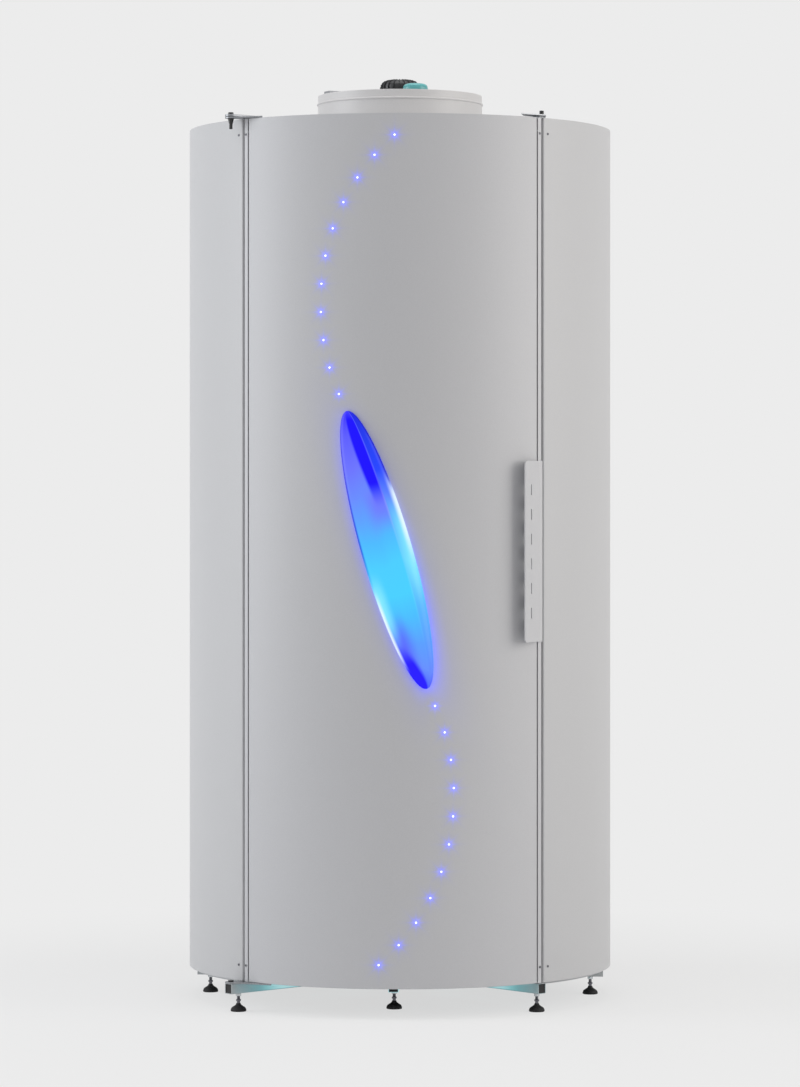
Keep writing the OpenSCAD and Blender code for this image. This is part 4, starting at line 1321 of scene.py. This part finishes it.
@dataclass
class Base:
    """The base frame's spokes, their end caps, the screw feet and the lock nuts."""

    tube: float = 25 * MM
    wall: float = 1.5 * MM
    hub: float = 75 * MM
    open_length: float = 40 * MM
    cap_depth: float = 10 * MM
    hinge_cap_depth: float = 2 * MM
    nut_flat: float = 6.5 * MM
    nut_bore: float = 4.1 * MM
    nut_height: float = 6.7 * MM
    nut_edge: float = 0.6 * MM
    thread_pitch: float = 1.25 * MM
    thread_root: float = 3.55 * MM
    thread_depth: float = 0.42 * MM
    # The spokes in turn from the front, and how far each runs on past its foot
    spokes: tuple = (("front", 42 * MM), ("front_right", 18 * MM), ("right", 32 * MM),
                     ("rear_right", 32 * MM), ("rear", 32 * MM), ("rear_left", 32 * MM),
                     ("left", 32 * MM), ("front_left", 32 * MM))

    def build(self) -> None:
        """Makes the base's pieces."""
        low, high = span("base_frame")
        middle = (low + high) / 2
        tubes, caps, nuts = Surface(), Surface(), Surface()
        tubes.lathe(disc(self.hub, low, high, 1 * MM), 96)
        for number, (name, past) in enumerate(self.spokes):
            spot = centre("foot_" + name)
            angle, length = 45.0 * number, math.hypot(spot.x, spot.y) + past
            tubes.outward(self._spoke(length), angle, height=middle)
            depth = self.hinge_cap_depth if name == "front_left" else self.cap_depth
            caps.outward(self._cap(length, depth), angle, height=middle)
            nuts.grid(self._nut() + [spot.x, spot.y, low - SEAT], close_rows=True, close_columns=True)
            self._foot(name, (spot.x, spot.y, 0))
        tubes.dress("base_frame_tubes", Finish.SPOKES, "base", "base_frame")
        caps.dress("spoke_end_caps", Finish.BLACK_PLASTIC, "base", "tube_end_caps", edge=0.5 * MM, angle=35)
        nuts.dress("foot_nuts", Finish.NUT, "base", "foot_lock_nuts")

    def _square(self, size: float, corner: float) -> np.ndarray:
        """A square loop with rounded corners."""
        square = np.array([(-1, -1), (1, -1), (1, 1), (-1, 1)]) * size / 2
        return rounded(square, corner, 6, closed=True)

    def _spoke(self, length: float) -> np.ndarray:
        """One square tube: an outer skin, an inner skin near the end, and the wall's edge between them.

        Args:
            length: Distance of its end from the booth's axis.
        Returns:
            The tube as a grid of points.
        """
        outer, inner = self._square(self.tube, 2.5 * MM), self._square(self.tube - 2 * self.wall, 1.2 * MM)
        start, floor = self.hub - 6 * MM, length - self.open_length
        return tower([(outer * 0, start), (outer, start), (outer, length - 0.4 * MM), (outer * 0.985, length),
                      (inner, length), (inner, floor), (inner * 0, floor)])

    def _cap(self, length: float, depth: float) -> np.ndarray:
        """A moulded plug in the tube's end, its face dished by a millimetre.

        Args:
            length: Distance of the tube's end from the booth's axis.
            depth: How far the plug goes in.
        Returns:
            The plug as a grid of points.
        """
        loop = self._square(self.tube - 2 * self.wall - 0.2 * MM, 1 * MM)
        face, dish, back = length - 0.5 * MM, length - 1.6 * MM, length - depth
        return tower([(loop * 0, back), (loop, back), (loop, face), (loop * 0.8, face), (loop * 0.74, dish),
                      (loop * 0, dish)])

    def _nut(self) -> np.ndarray:
        """A nut of 13 mm across its flats, with its corners turned off at both ends.

        Returns:
            The nut as a grid of points, with its top at 0.
        """
        turn = around(48)
        corners = hexagon(self.nut_flat, turn)
        bore, full = circle(self.nut_bore, turn), circle(corners, turn)
        worn = circle(np.minimum(corners, self.nut_flat + 0.05 * MM), turn)
        low, edge = -self.nut_height, self.nut_edge
        return tower([(bore, low), (worn, low), (full, low + edge), (full, -edge), (worn, 0), (bore, 0)])

    def _foot(self, name: str, spot: tuple) -> None:
        """A screw foot: a moulded pad with a low cone, and a plated screw with a collar and a real thread.

        The cone's side is nearly straight: it swells by 1.6 sin(2 pi t) mm low down and draws in
        by as much near its top. The thread's radius is root + depth |2 s - 1|, where s is the
        fraction left over of z / pitch - turn.

        Args:
            name: Which foot it is.
            spot: Where it stands on the floor.
        """
        node = "foot_" + name
        pad, screw = Surface(), Surface()
        t = np.linspace(0, 1, 9)
        cone = np.stack([18.4 - 13 * t + 1.6 * np.sin(2 * np.pi * t), 5.2 + 14 * t], -1)
        pad.lathe(np.concatenate([[(0, 0), (17.6, 0), (18.6, 0.5), (19, 1.4), (19, 3.6), (18.8, 4.5)], cone,
                                  [(5.0, 19.8), (4.2, 20), (0, 20)]]) * MM, 48, spot)
        screw.lathe(mm((0, 19.9), (4.0, 20), (4.0, 24.4), (5.7, 24.8), (6, 25.2), (6, 28.4), (5.7, 28.8),
                       (4.0, 29.2), (0, 29.2)), 32, spot)
        pitch = self.thread_pitch
        z = np.arange(29 * MM, span(node)[1], pitch / 4)
        share = np.linspace(0, 1, 25)[:-1]
        wave = np.abs(2 * ((z[:, None] / pitch - share) % 1) - 1)
        radius = self.thread_root + self.thread_depth * wave
        rows = [(circle(ring, 2 * np.pi * share), height) for ring, height in zip(radius, z)]
        grid = tower([(rows[0][0] * 0, z[0]), *rows, (rows[-1][0] * 0, z[-1])])
        screw.grid(grid + np.array(spot), close_columns=True)
        pad.dress("pad_" + name, Finish.PAD, node, node)
        screw.dress("screw_" + name, Finish.SCREW, node)


@dataclass
class Roof:
    """The round fan outlet, its bar, motor, terminal box and impeller."""

    flange: float = 18 * MM
    bead_drop: float = 21 * MM
    # Radius, drop below the motor's top and rise of its core's dome and of its ribs' crests
    core: tuple = (45.8 * MM, 26.6 * MM, 22.8 * MM)
    crest: tuple = (51 * MM, 40 * MM, 40 * MM)
    ribs: int = 20
    notches: int = 7
    notch: float = 0.6 * MM
    box_radius: float = 31.4 * MM
    blades: int = 7
    blade_root: float = 46 * MM
    # Degrees at the hub, and how many fewer at the tip
    blade_pitch: tuple = (38, 14)
    # At the hub, and how much more at its widest
    blade_chord: tuple = (46 * MM, 16 * MM)
    blade_bow: float = 4 * MM
    blade_half: float = 1 * MM

    def build(self) -> None:
        """Makes the roof's pieces."""
        self._collar()
        self._motor()
        self._terminal_box()
        self._impeller()
        soften_node("fan_bar", Finish.ZINC, 0.7 * MM)
        soften_node("roof_plate", Finish.FRAME, 0.5 * MM)

    def _collar(self) -> None:
        """The outlet: a spun ring with a foot flange, a raised bead and a rolled rim."""
        low, high = span("fan_collar")
        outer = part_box("fan_collar")[1].y - self.flange
        ridge = circle(3 * MM, np.radians(np.linspace(-80, 80, 9))) + [-0.4 * MM, high - low - self.bead_drop]
        rim = circle(1.1 * MM, np.radians(np.linspace(-20, 180, 9))) + [-1 * MM, high - low - 1.1 * MM]
        profile = np.concatenate([mm((-2, 0), (18, 0), (18, 2), (2, 2), (0, 4)), ridge, rim]) + [outer, low]
        surface = Surface()
        surface.lathe(profile, 192, close=True)
        surface.dress("fan_outlet_ring", Finish.FAN_PAINT, "base", "fan_collar")

    def _dome(self, radius: float, low: float, rise: float) -> np.ndarray:
        """Half outline of a rounded dome: (r cos(t)^0.5, low + rise sin(t)^0.5)."""
        t = np.radians(np.concatenate([[0, 1, 4], np.linspace(9, 81, 25), [86, 89, 90]]))
        return np.sqrt(circle(1, t)) * [radius, rise] + [0, low]

    def _motor(self) -> None:
        """The motor: a domed body with upright cooling ribs all round, each notched along its crest.

        In its notches a rib's crest drops by notch (1 - cos(2 pi notches s)), s from 0 to 1.
        """
        low, high = span("fan_motor")
        surface = Surface()
        size, drop, rise = self.core
        core = self._dome(size, high - drop, rise)
        surface.lathe(np.concatenate([mm((0, 0), (43.8, 0), (45.8, 2)) + [0, low], core]), 64)
        # The flange that bolts the motor under the bar
        plate = mm((0, 0), (63, 0), (64, 0.8), (64, 4), (0, 4.7))
        surface.lathe(plate + [0, span("fan_bar")[0] - 5 * MM], 64)
        size, drop, rise = self.crest
        outline = self._dome(size, high - drop, rise)
        s = np.linspace(0, 1, len(outline))[:, None]
        notch = self.notch * (1 - np.cos(2 * np.pi * self.notches * s))
        outline = outline - notch * np.concatenate([outline[:, :1] / size, s], 1)
        # How far aside and inwards a rib's rows lie, in millimetres, from foot over crest to foot
        section = ((-1.3, 7), (-1.3, 0.7), (-0.91, 0), (0.91, 0), (1.3, 0.7), (1.3, 7))
        rows = []
        for aside, inwards in section:
            reach = np.maximum(outline[:, 0] - inwards * MM, 0)
            row = np.stack([np.full(len(outline), aside * MM), -reach, outline[:, 1] - inwards * MM], -1)
            rows.append(np.concatenate([row[:1] * [1, 0, 1], row]))
        for angle in np.degrees(around(self.ribs)):
            surface.grid(place(np.stack(rows), angle), close_rows=True, capped=True)
        surface.dress("ribbed_fan_motor", Finish.MOTOR, "base", "fan_motor")

    def _terminal_box(self) -> None:
        """The motor's round terminal box: a low dome with a lid line round it."""
        low, high = span("motor_terminal_box")
        spot = centre("motor_terminal_box")
        dome = self._dome(self.box_radius, 0.0, high - low)
        lid, tub = dome[dome[:, 1] > 12 * MM], dome[dome[:, 1] < 11 * MM]
        profile = np.concatenate([[(0, 0)], tub, mm((30.2, 11.4), (29.9, 11.7), (30.1, 12)), lid])
        surface = Surface()
        surface.lathe(profile, 48, (spot.x, spot.y, low))
        surface.dress("motor_terminal_dome", Finish.TEAL, "base", "motor_terminal_box")

    def _impeller(self) -> None:
        """The impeller: a hub and seven curved blades.

        Along a blade, r goes from hub to tip, the pitch falls from 38 to 24 degrees and the chord
        bows by 4 mm: z = s sin(pitch) + bow (1 - (2 s / chord)^2). A blade is 2 mm thick and
        thins to its edges.
        """
        low, high = span("fan_impeller")
        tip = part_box("fan_impeller")[1].y - 1 * MM
        surface = Surface()
        hub = mm((0, 0), (47, 0), (50, 3), (50, 31), (47, 34), (6, 34)) + [0, low]
        surface.lathe(np.concatenate([hub, [(6 * MM, high), (0, high)]]), 64)
        r = np.linspace(self.blade_root, tip, 16)[:, None]
        share = (r - r[0]) / (r[-1] - r[0])
        pitch = np.radians(self.blade_pitch[0] - self.blade_pitch[1] * share)
        chord = self.blade_chord[0] + self.blade_chord[1] * np.sin(np.pi * 0.6 * share)
        s = np.linspace(-0.5, 0.5, 11)[None, :] * chord
        side = s * np.cos(pitch)
        bow = self.blade_bow * (1 - (2 * s / chord) ** 2)
        middle = low + 15 * MM + s * np.sin(pitch) + bow
        thick = self.blade_half * np.sqrt(np.clip(1.02 - (2 * s / chord) ** 2, 0, 1))
        skins = [np.stack([side, -np.sqrt(np.clip(r ** 2 - side ** 2, 0, None)), middle + lift], -1)
                 for lift in (thick, -thick)]
        blade = np.concatenate([skins[0], skins[1][:, ::-1]], 1)
        for angle in np.degrees(around(self.blades)):
            surface.grid(place(blade, angle), close_columns=True, capped=True)
        surface.dress("curved_impeller", Finish.MOTOR, "fan", "fan_impeller")


@dataclass
class Hinges:
    """Upper hinge bracket, the pins, and the keeper plate with its door switch."""

    plan: Plan
    pin_angle: float = -45.0
    pin_radius: float = 551.5 * MM
    switch_angle: float = 44.0
    switch_radius: float = 5 * MM
    switch_height: float = 9.5 * MM

    def build(self) -> None:
        """Makes the hinge pieces."""
        soften_node("top_hinge_bracket", Finish.ZINC, 0.7 * MM)
        soften_node("door_keeper", Finish.ZINC, 0.6 * MM)
        self._pins()
        self._switch()

    def _pins(self) -> None:
        """The pins: the upper has a socket head above and a moulded cone below, the lower a collar."""
        spot = (*on_circle(self.pin_angle, self.pin_radius), 0)
        low, high = span("hinge_pins")
        surface = Surface()
        head = mm((0, -24), (4, -24), (4, -5), (6.5, -5), (6.5, -0.8), (5.9, 0), (3.6, 0))
        screw = socket_head(head, 2.5 * MM, -2.5 * MM, -2.8 * MM)
        surface.grid(screw + np.array(spot) + [0, 0, high], close_columns=True)
        cone = mm((0, -25), (3.4, -25), (4, -24), (4, -12.5), (4.6, -12), (7.2, -1.2), (7.2, -0.4),
                  (6.8, 0), (0, 0))
        surface.lathe(cone + [0, self.plan.high + 0.1 * MM], 32, spot)
        seat = span("door_hinge_arms")[0] + 4.3 * MM
        collar = mm((4, 0), (6.6, 0), (7, 0.5), (7, 2.5), (6.5, 3), (0, 3)) + [0, seat]
        surface.lathe(np.concatenate([[(0, low), (4 * MM, low)], collar]), 32, spot)
        surface.dress("hinge_pin_screws", Finish.BLACK_STEEL, "base", "hinge_pins")

    def _switch(self) -> None:
        """The moulded cap over the door switch on the keeper plate."""
        top = span("door_keeper")[1]
        size, foot = self.switch_radius + SEAT, top - self.switch_height + 0.1 * MM
        # The crown is a quarter circle of 2 mm that ends 0.4 mm above the switch
        crown = circle(2 * MM, np.radians(np.linspace(0, 90, 7))) + [size - 2 * MM, top - 1.6 * MM]
        surface = Surface()
        surface.lathe(np.concatenate([[(0, foot), (size, foot)], crown, [(0, top + 0.4 * MM)]]), 32,
                      (*on_circle(self.switch_angle, self.plan.radius - 2 * self.switch_radius), 0))
        surface.dress("door_switch_cap", Finish.BLACK_PLASTIC, "base")


@dataclass
class Cabin:
    """What the user stands in: lamps, shields, reflectors, rails, control pod and floor."""

    plan: Plan
    quarters: tuple = (-90, 90, 180)
    lamps: int = 12
    lamp_sweep: float = 76.0
    lamp_ring: float = 425 * MM
    lamp_radius: float = 19 * MM
    cap_length: float = 25.7 * MM
    # Radius of the middle of the sheet, and its thickness
    shield: tuple = (396.5 * MM, 3 * MM)
    reflector: tuple = (455.5 * MM, 1 * MM)
    reflector_past: float = 4.5
    rail_face: float = 391 * MM
    rail_off: float = 55 * MM
    rail_radius: float = 10 * MM
    rail_bend: float = 26 * MM
    rail_flange: float = 16 * MM
    pod_face: float = 361 * MM
    stud_pitch: float = 32 * MM
    stud_rings: int = 11
    flutes: int = 24
    flute_depth: float = 0.035

    def build(self) -> None:
        """Makes the cabin's pieces."""
        self._lamps("side", self.quarters, "base")
        self._lamps("door", (0,), "door")
        self._curved_sheets()
        self._rails()
        self._mat()
        self._buttons()
        self._knob()
        for node, body in (("side_lampholders", "base"), ("door_lampholders", "door")):
            soften_node(node, Finish.WHITE, 1.2 * MM, body=body)
        soften_node("control_pod", Finish.WHITE, 3 * MM, 4)
        soften_node("ceiling_grille", Finish.FAN_PAINT, 0.4 * MM, 1)

    def _lamps(self, side: str, quarters: tuple, body: str) -> None:
        """The lamps of some quarters: milky tubes, and pressed caps with a crimp at each end.

        Args:
            side: First word of their nodes' names.
            quarters: Middle angle of each quarter.
            body: The body that they ride on.
        """
        glass, caps = side + "_lamps", side + "_lamp_caps"
        low, high = span(glass)
        tube = disc(self.lamp_radius, low, high, 1.5 * MM)
        cap = mm((0, 0), (15, 0), (17.2, 0.8), (18.2, 2.6), (18.2, 9), (17.9, 10), (18.2, 11), (18.4, 24),
                 (18.1, 25.7), (0, 25.7))
        tubes, ends = Surface(), Surface()
        half = self.lamp_sweep / 2
        for middle in quarters:
            for angle in np.linspace(middle - half, middle + half, self.lamps):
                x, y = on_circle(angle, self.lamp_ring)
                tubes.lathe(tube, 32, (x, y, 0))
                ends.lathe(cap, 32, (x, y, low - self.cap_length))
                ends.lathe(cap * [1, -1], 32, (x, y, high + self.cap_length))
        tubes.dress(glass + "_tubes", Finish.LAMP, body, glass)
        ends.dress(caps + "_pressed", Finish.LAMP_CAP, body, caps)

    def _curved_sheets(self) -> None:
        """The clear shields and the bright reflectors, each a sheet bent to an arc."""
        reach = self.lamp_sweep / 2 + self.reflector_past
        backs = [(middle - reach, middle + reach) for middle in self.quarters]
        for node, name, arcs, (radius, thickness), finish in (
                ("left_shield", "left_shield_sheet", [(-134.4, -45.9)], self.shield, Finish.ACRYLIC),
                ("right_shield", "right_shield_sheet", [(45.9, 134.4)], self.shield, Finish.ACRYLIC),
                ("rear_shield", "rear_shield_sheet", [(135.6, 224.4)], self.shield, Finish.ACRYLIC),
                ("door_shield", "door_shield_sheet", [(-41.9, 41.9)], self.shield, Finish.ACRYLIC),
                ("door_reflector", "door_reflector_sheet", [(-42.2, 42.2)], self.reflector, Finish.REFLECTOR),
                ("side_reflectors", "side_reflector_sheets", backs, self.reflector, Finish.REFLECTOR)):
            surface = Surface()
            for start, end in arcs:
                surface.sheet(arc(radius, start, end), thickness, *span(node))
            surface.dress(name, finish, "door" if node.startswith("door") else "base", node)

    def _rails(self) -> None:
        """The grab rails: a bent tube with a round flange at each end, on both front posts."""
        low, high = span("grab_rails")
        bottom, top = low + self.rail_flange, high - self.rail_flange
        corners = np.array([(0, bottom), (self.rail_off, bottom), (self.rail_off, top), (0, top)])
        line = rounded(corners, self.rail_bend, 12)
        path = np.column_stack([np.zeros(len(line)), line[:, 0] - self.rail_face, line[:, 1]])
        loop = circle(self.rail_radius, around(24))
        flange = turned(mm((0, 0), (16, 0), (16, -2.6), (15, -3.8), (10.5, -4), (0, -4)), 32)
        surface = Surface()
        for angle in (-self.plan.front_post, self.plan.front_post):
            surface.sweep(place(path, angle), loop, place(np.array([1.0, 0.0, 0.0]), angle))
            for height in (bottom, top):
                surface.outward(flange, angle, self.rail_face, height)
        surface.dress("bent_grab_rails", Finish.POLISHED, "base", "grab_rails")

    def _mat(self) -> None:
        """The floor mat: a disc with rings of low round studs."""
        low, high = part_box("floor_mat")
        face = high.z - 1 * MM
        surface = Surface()
        surface.lathe(disc(high.x, low.z, face, 0.6 * MM), 128)
        stud = mm((0, -0.2), (7.5, -0.2), (7.2, 0.6), (6.4, 0.95), (0, 1))
        for ring in range(1, self.stud_rings + 1):
            for angle in np.linspace(0, 360, 6 * ring, endpoint=False):
                surface.lathe(stud, 12, (*on_circle(angle, ring * self.stud_pitch), face))
        surface.dress("studded_floor_mat", Finish.MAT, "base", "floor_mat")

    def _buttons(self) -> None:
        """The two round buttons on the control pod; a negative height points into the cabin."""
        crown = circle(1.5, np.radians(np.linspace(0, 90, 7))) + [9.4, 5.2]
        profile = np.concatenate([[(0, -8.8), (10.9, -8.8)], crown, [(6, 7.1), (3, 6.6), (0, 6.5)]])
        button = turned(profile * [1, -1] * MM, 48)
        for node, finish in (("start_button", Finish.GREEN), ("stop_button", Finish.RED)):
            surface = Surface()
            surface.outward(button, self.plan.rear_post, self.pod_face, centre(node).z)
            surface.dress(node + "_cap", finish, node, node)

    def _knob(self) -> None:
        """The fan knob: a turned body with flutes and a raised pointer.

        The fluted radius is r (1 - depth (0.5 + 0.5 cos(flutes t))).
        """
        turn = around(96)
        flutes = 1 - self.flute_depth * (0.5 + 0.5 * np.cos(self.flutes * turn))
        # Radius, height and whether the ring is fluted
        rings = ((0, -13.9, 0), (4, -13.9, 0), (4, 0.5, 0), (14.9, 0.5, 1), (14.9, 11, 1), (13.6, 13.4, 1),
                 (12, 14, 0), (0, 14, 0))
        body = tower([(circle(radius * MM * (flutes if cut else 1), turn), -out * MM)
                      for radius, out, cut in rings])
        corners = mm((-1.3, 2), (1.3, 2), (1.3, 12.5), (-1.3, 12.5))
        pointer = tower([(corners, -13.5 * MM), (corners, -15.6 * MM)])
        spot = (self.plan.rear_post, self.pod_face, span("fan_knob")[0] + 15 * MM)
        surface = Surface()
        surface.outward(body, *spot)
        surface.outward(pointer, *spot, capped=True)
        surface.dress("fluted_fan_knob", Finish.BLACK_PLASTIC, "fan_knob", "fan_knob")


@dataclass
class PlainNodes:
    """The frame's own nodes: each gets the first finish of its slot, or the one named here."""

    # The small lights' housings are white plastic. The lens's own node is hidden, and it has no
    # map for the lit colours.
    named: tuple = (("door_lights", Finish.WHITE), ("lens", Finish.TEAL))

    def build(self) -> None:
        """Gives every node a finish, and the gland soft edges."""
        by_slot = {finish.slot: finish for finish in reversed(Finish)}
        finishes = {part["node"]: by_slot[part["material_slot"]] for part in frame["record"]["subparts"]}
        finishes.update(self.named)
        for name, node in frame["nodes"].items():
            material = finishes[name].material()
            if not node.material_slots:
                node.data.materials.append(material)
            for slot in node.material_slots:
                slot.material = material
        soften_node("cable_gland", Finish.BLACK_PLASTIC, 0.7 * MM)
        LOG.info("plain nodes: %d", len(frame["nodes"]))


@dataclass
class Studio:
    """A pale floor, soft light from both sides and the camera at the photo's viewing angle."""

    azimuth: float = 2.6
    distance: float = 10.05
    eye: float = 1.257
    lens: float = 133.1
    shift_up: float = -0.0492
    backdrop: str = "ECECEC"
    world_light: float = 0.465
    near_floor: float = 0.76
    fade_start: float = 0.9
    fade_end: float = 2.2
    # Name, place, width and height, watts and colour of each soft lamp
    lamps: tuple = (("left_softbox", (-4.4, -1.0, 2.4), (2.4, 3.6), 91, (0.94, 0.97, 1.0)),
                    ("right_softbox", (4.3, -1.3, 2.4), (3.0, 3.6), 82, (1.0, 0.97, 0.92)),
                    ("top_softbox", (0.0, -0.6, 5.2), (3.0, 3.0), 45, (1.0, 1.0, 1.0)))
    aim: tuple = (0.0, 0.0, 1.1)

    def build(self) -> None:
        """Makes the floor, the light and the camera."""
        self._world()
        self._floor()
        self._lamps()
        self._camera()
        bpy.context.scene.view_settings.view_transform = "Standard"

    def _rays(self, tree: bpy.types.NodeTree) -> list[Number]:
        """Whether a ray comes from the camera, from a glossy surface or through glass."""
        path = add(tree, "ShaderNodeLightPath")
        return [Number(path.outputs[f"Is {kind} Ray"]) for kind in ("Camera", "Glossy", "Transmission")]

    def _world(self) -> None:
        """Even light for the object; the camera, and what shows in metal and glass, sees the backdrop."""
        world = bpy.data.worlds.new("studio")
        bpy.context.scene.world = world
        world.use_nodes = True
        tree = world.node_tree
        tree.nodes.clear()
        camera, gloss, through = self._rays(tree)
        seen = camera.math("MAXIMUM", gloss).math("MAXIMUM", through)
        light = add(tree, "ShaderNodeBackground", {"Color": linear("FFFFFF"), "Strength": self.world_light})
        shown = add(tree, "ShaderNodeBackground", {"Color": linear(self.backdrop), "Strength": 1.0})
        mix = add(tree, "ShaderNodeMixShader", {0: seen.socket, 1: light.outputs[0], 2: shown.outputs[0]})
        add(tree, "ShaderNodeOutputWorld", {"Surface": mix.outputs[0]})

    def _floor(self) -> None:
        """A round floor that keeps the booth's shadow and takes the backdrop's colour further out."""
        material = bpy.data.materials.new("studio_floor_paint")
        material.use_nodes = True
        tree = material.node_tree
        tree.nodes.clear()
        where = add(tree, "ShaderNodeTexCoord").outputs["Object"]
        x, y, _ = map(Number, add(tree, "ShaderNodeSeparateXYZ", {"Vector": where}).outputs)
        far = (x * x + y * y).math("SQRT").fade(self.fade_start, self.fade_end)
        far = far * (1.0 - self.near_floor) + self.near_floor
        camera, gloss, _ = self._rays(tree)
        part = far * camera.math("MAXIMUM", gloss)
        paint = add(tree, "ShaderNodeBsdfDiffuse", {"Color": linear("F2F2F2")})
        plain = add(tree, "ShaderNodeEmission", {"Color": linear(self.backdrop), "Strength": 1.0})
        mix = add(tree, "ShaderNodeMixShader", {0: part.socket, 1: paint.outputs[0], 2: plain.outputs[0]})
        add(tree, "ShaderNodeOutputMaterial", {"Surface": mix.outputs[0]})
        surface = Surface()
        surface.lathe(np.array([(0.0, 0.0), (2.0, 0.0), (40.0, 0.0)]), 64)
        floor = surface.make("studio_floor")
        floor.data.materials.append(material)

    def _lamps(self) -> None:
        """Adds the large soft lamps, which all face the booth's middle."""
        for name, spot, size, power, colour in self.lamps:
            light = bpy.data.lights.new(name, "AREA")
            light.shape = "RECTANGLE"
            light.size, light.size_y = size
            light.energy = power
            light.color = colour
            lamp = bpy.data.objects.new(name, light)
            lamp.location = spot
            lamp.rotation_euler = (Vector(self.aim) - Vector(spot)).to_track_quat("-Z", "Y").to_euler()
            bpy.context.scene.collection.objects.link(lamp)

    def _camera(self) -> None:
        """Adds the camera: level and far off, shifted to put the horizon where the photo has it."""
        camera = bpy.data.cameras.new("camera")
        camera.lens = self.lens
        camera.sensor_width = 36.0
        camera.shift_y = self.shift_up
        holder = bpy.data.objects.new("camera", camera)
        holder.location = (*on_circle(self.azimuth, self.distance), self.eye)
        holder.rotation_euler = (math.radians(90), 0, math.radians(self.azimuth))
        bpy.context.scene.collection.objects.link(holder)
        bpy.context.scene.camera = holder


def main() -> None:
    """Builds the booth's sub-assemblies in order, and then the studio."""
    logging.basicConfig(level=logging.INFO, format="%(name)s: %(message)s")
    plan = Plan()
    parts = (PlainNodes(), Shell(plan), Door(plan, LightPattern()), Base(), Roof(), Hinges(plan),
             Cabin(plan), Studio())
    for part in parts:
        LOG.info("building %s", type(part).__name__)
        part.build()


if __name__ == "__main__":
    main()
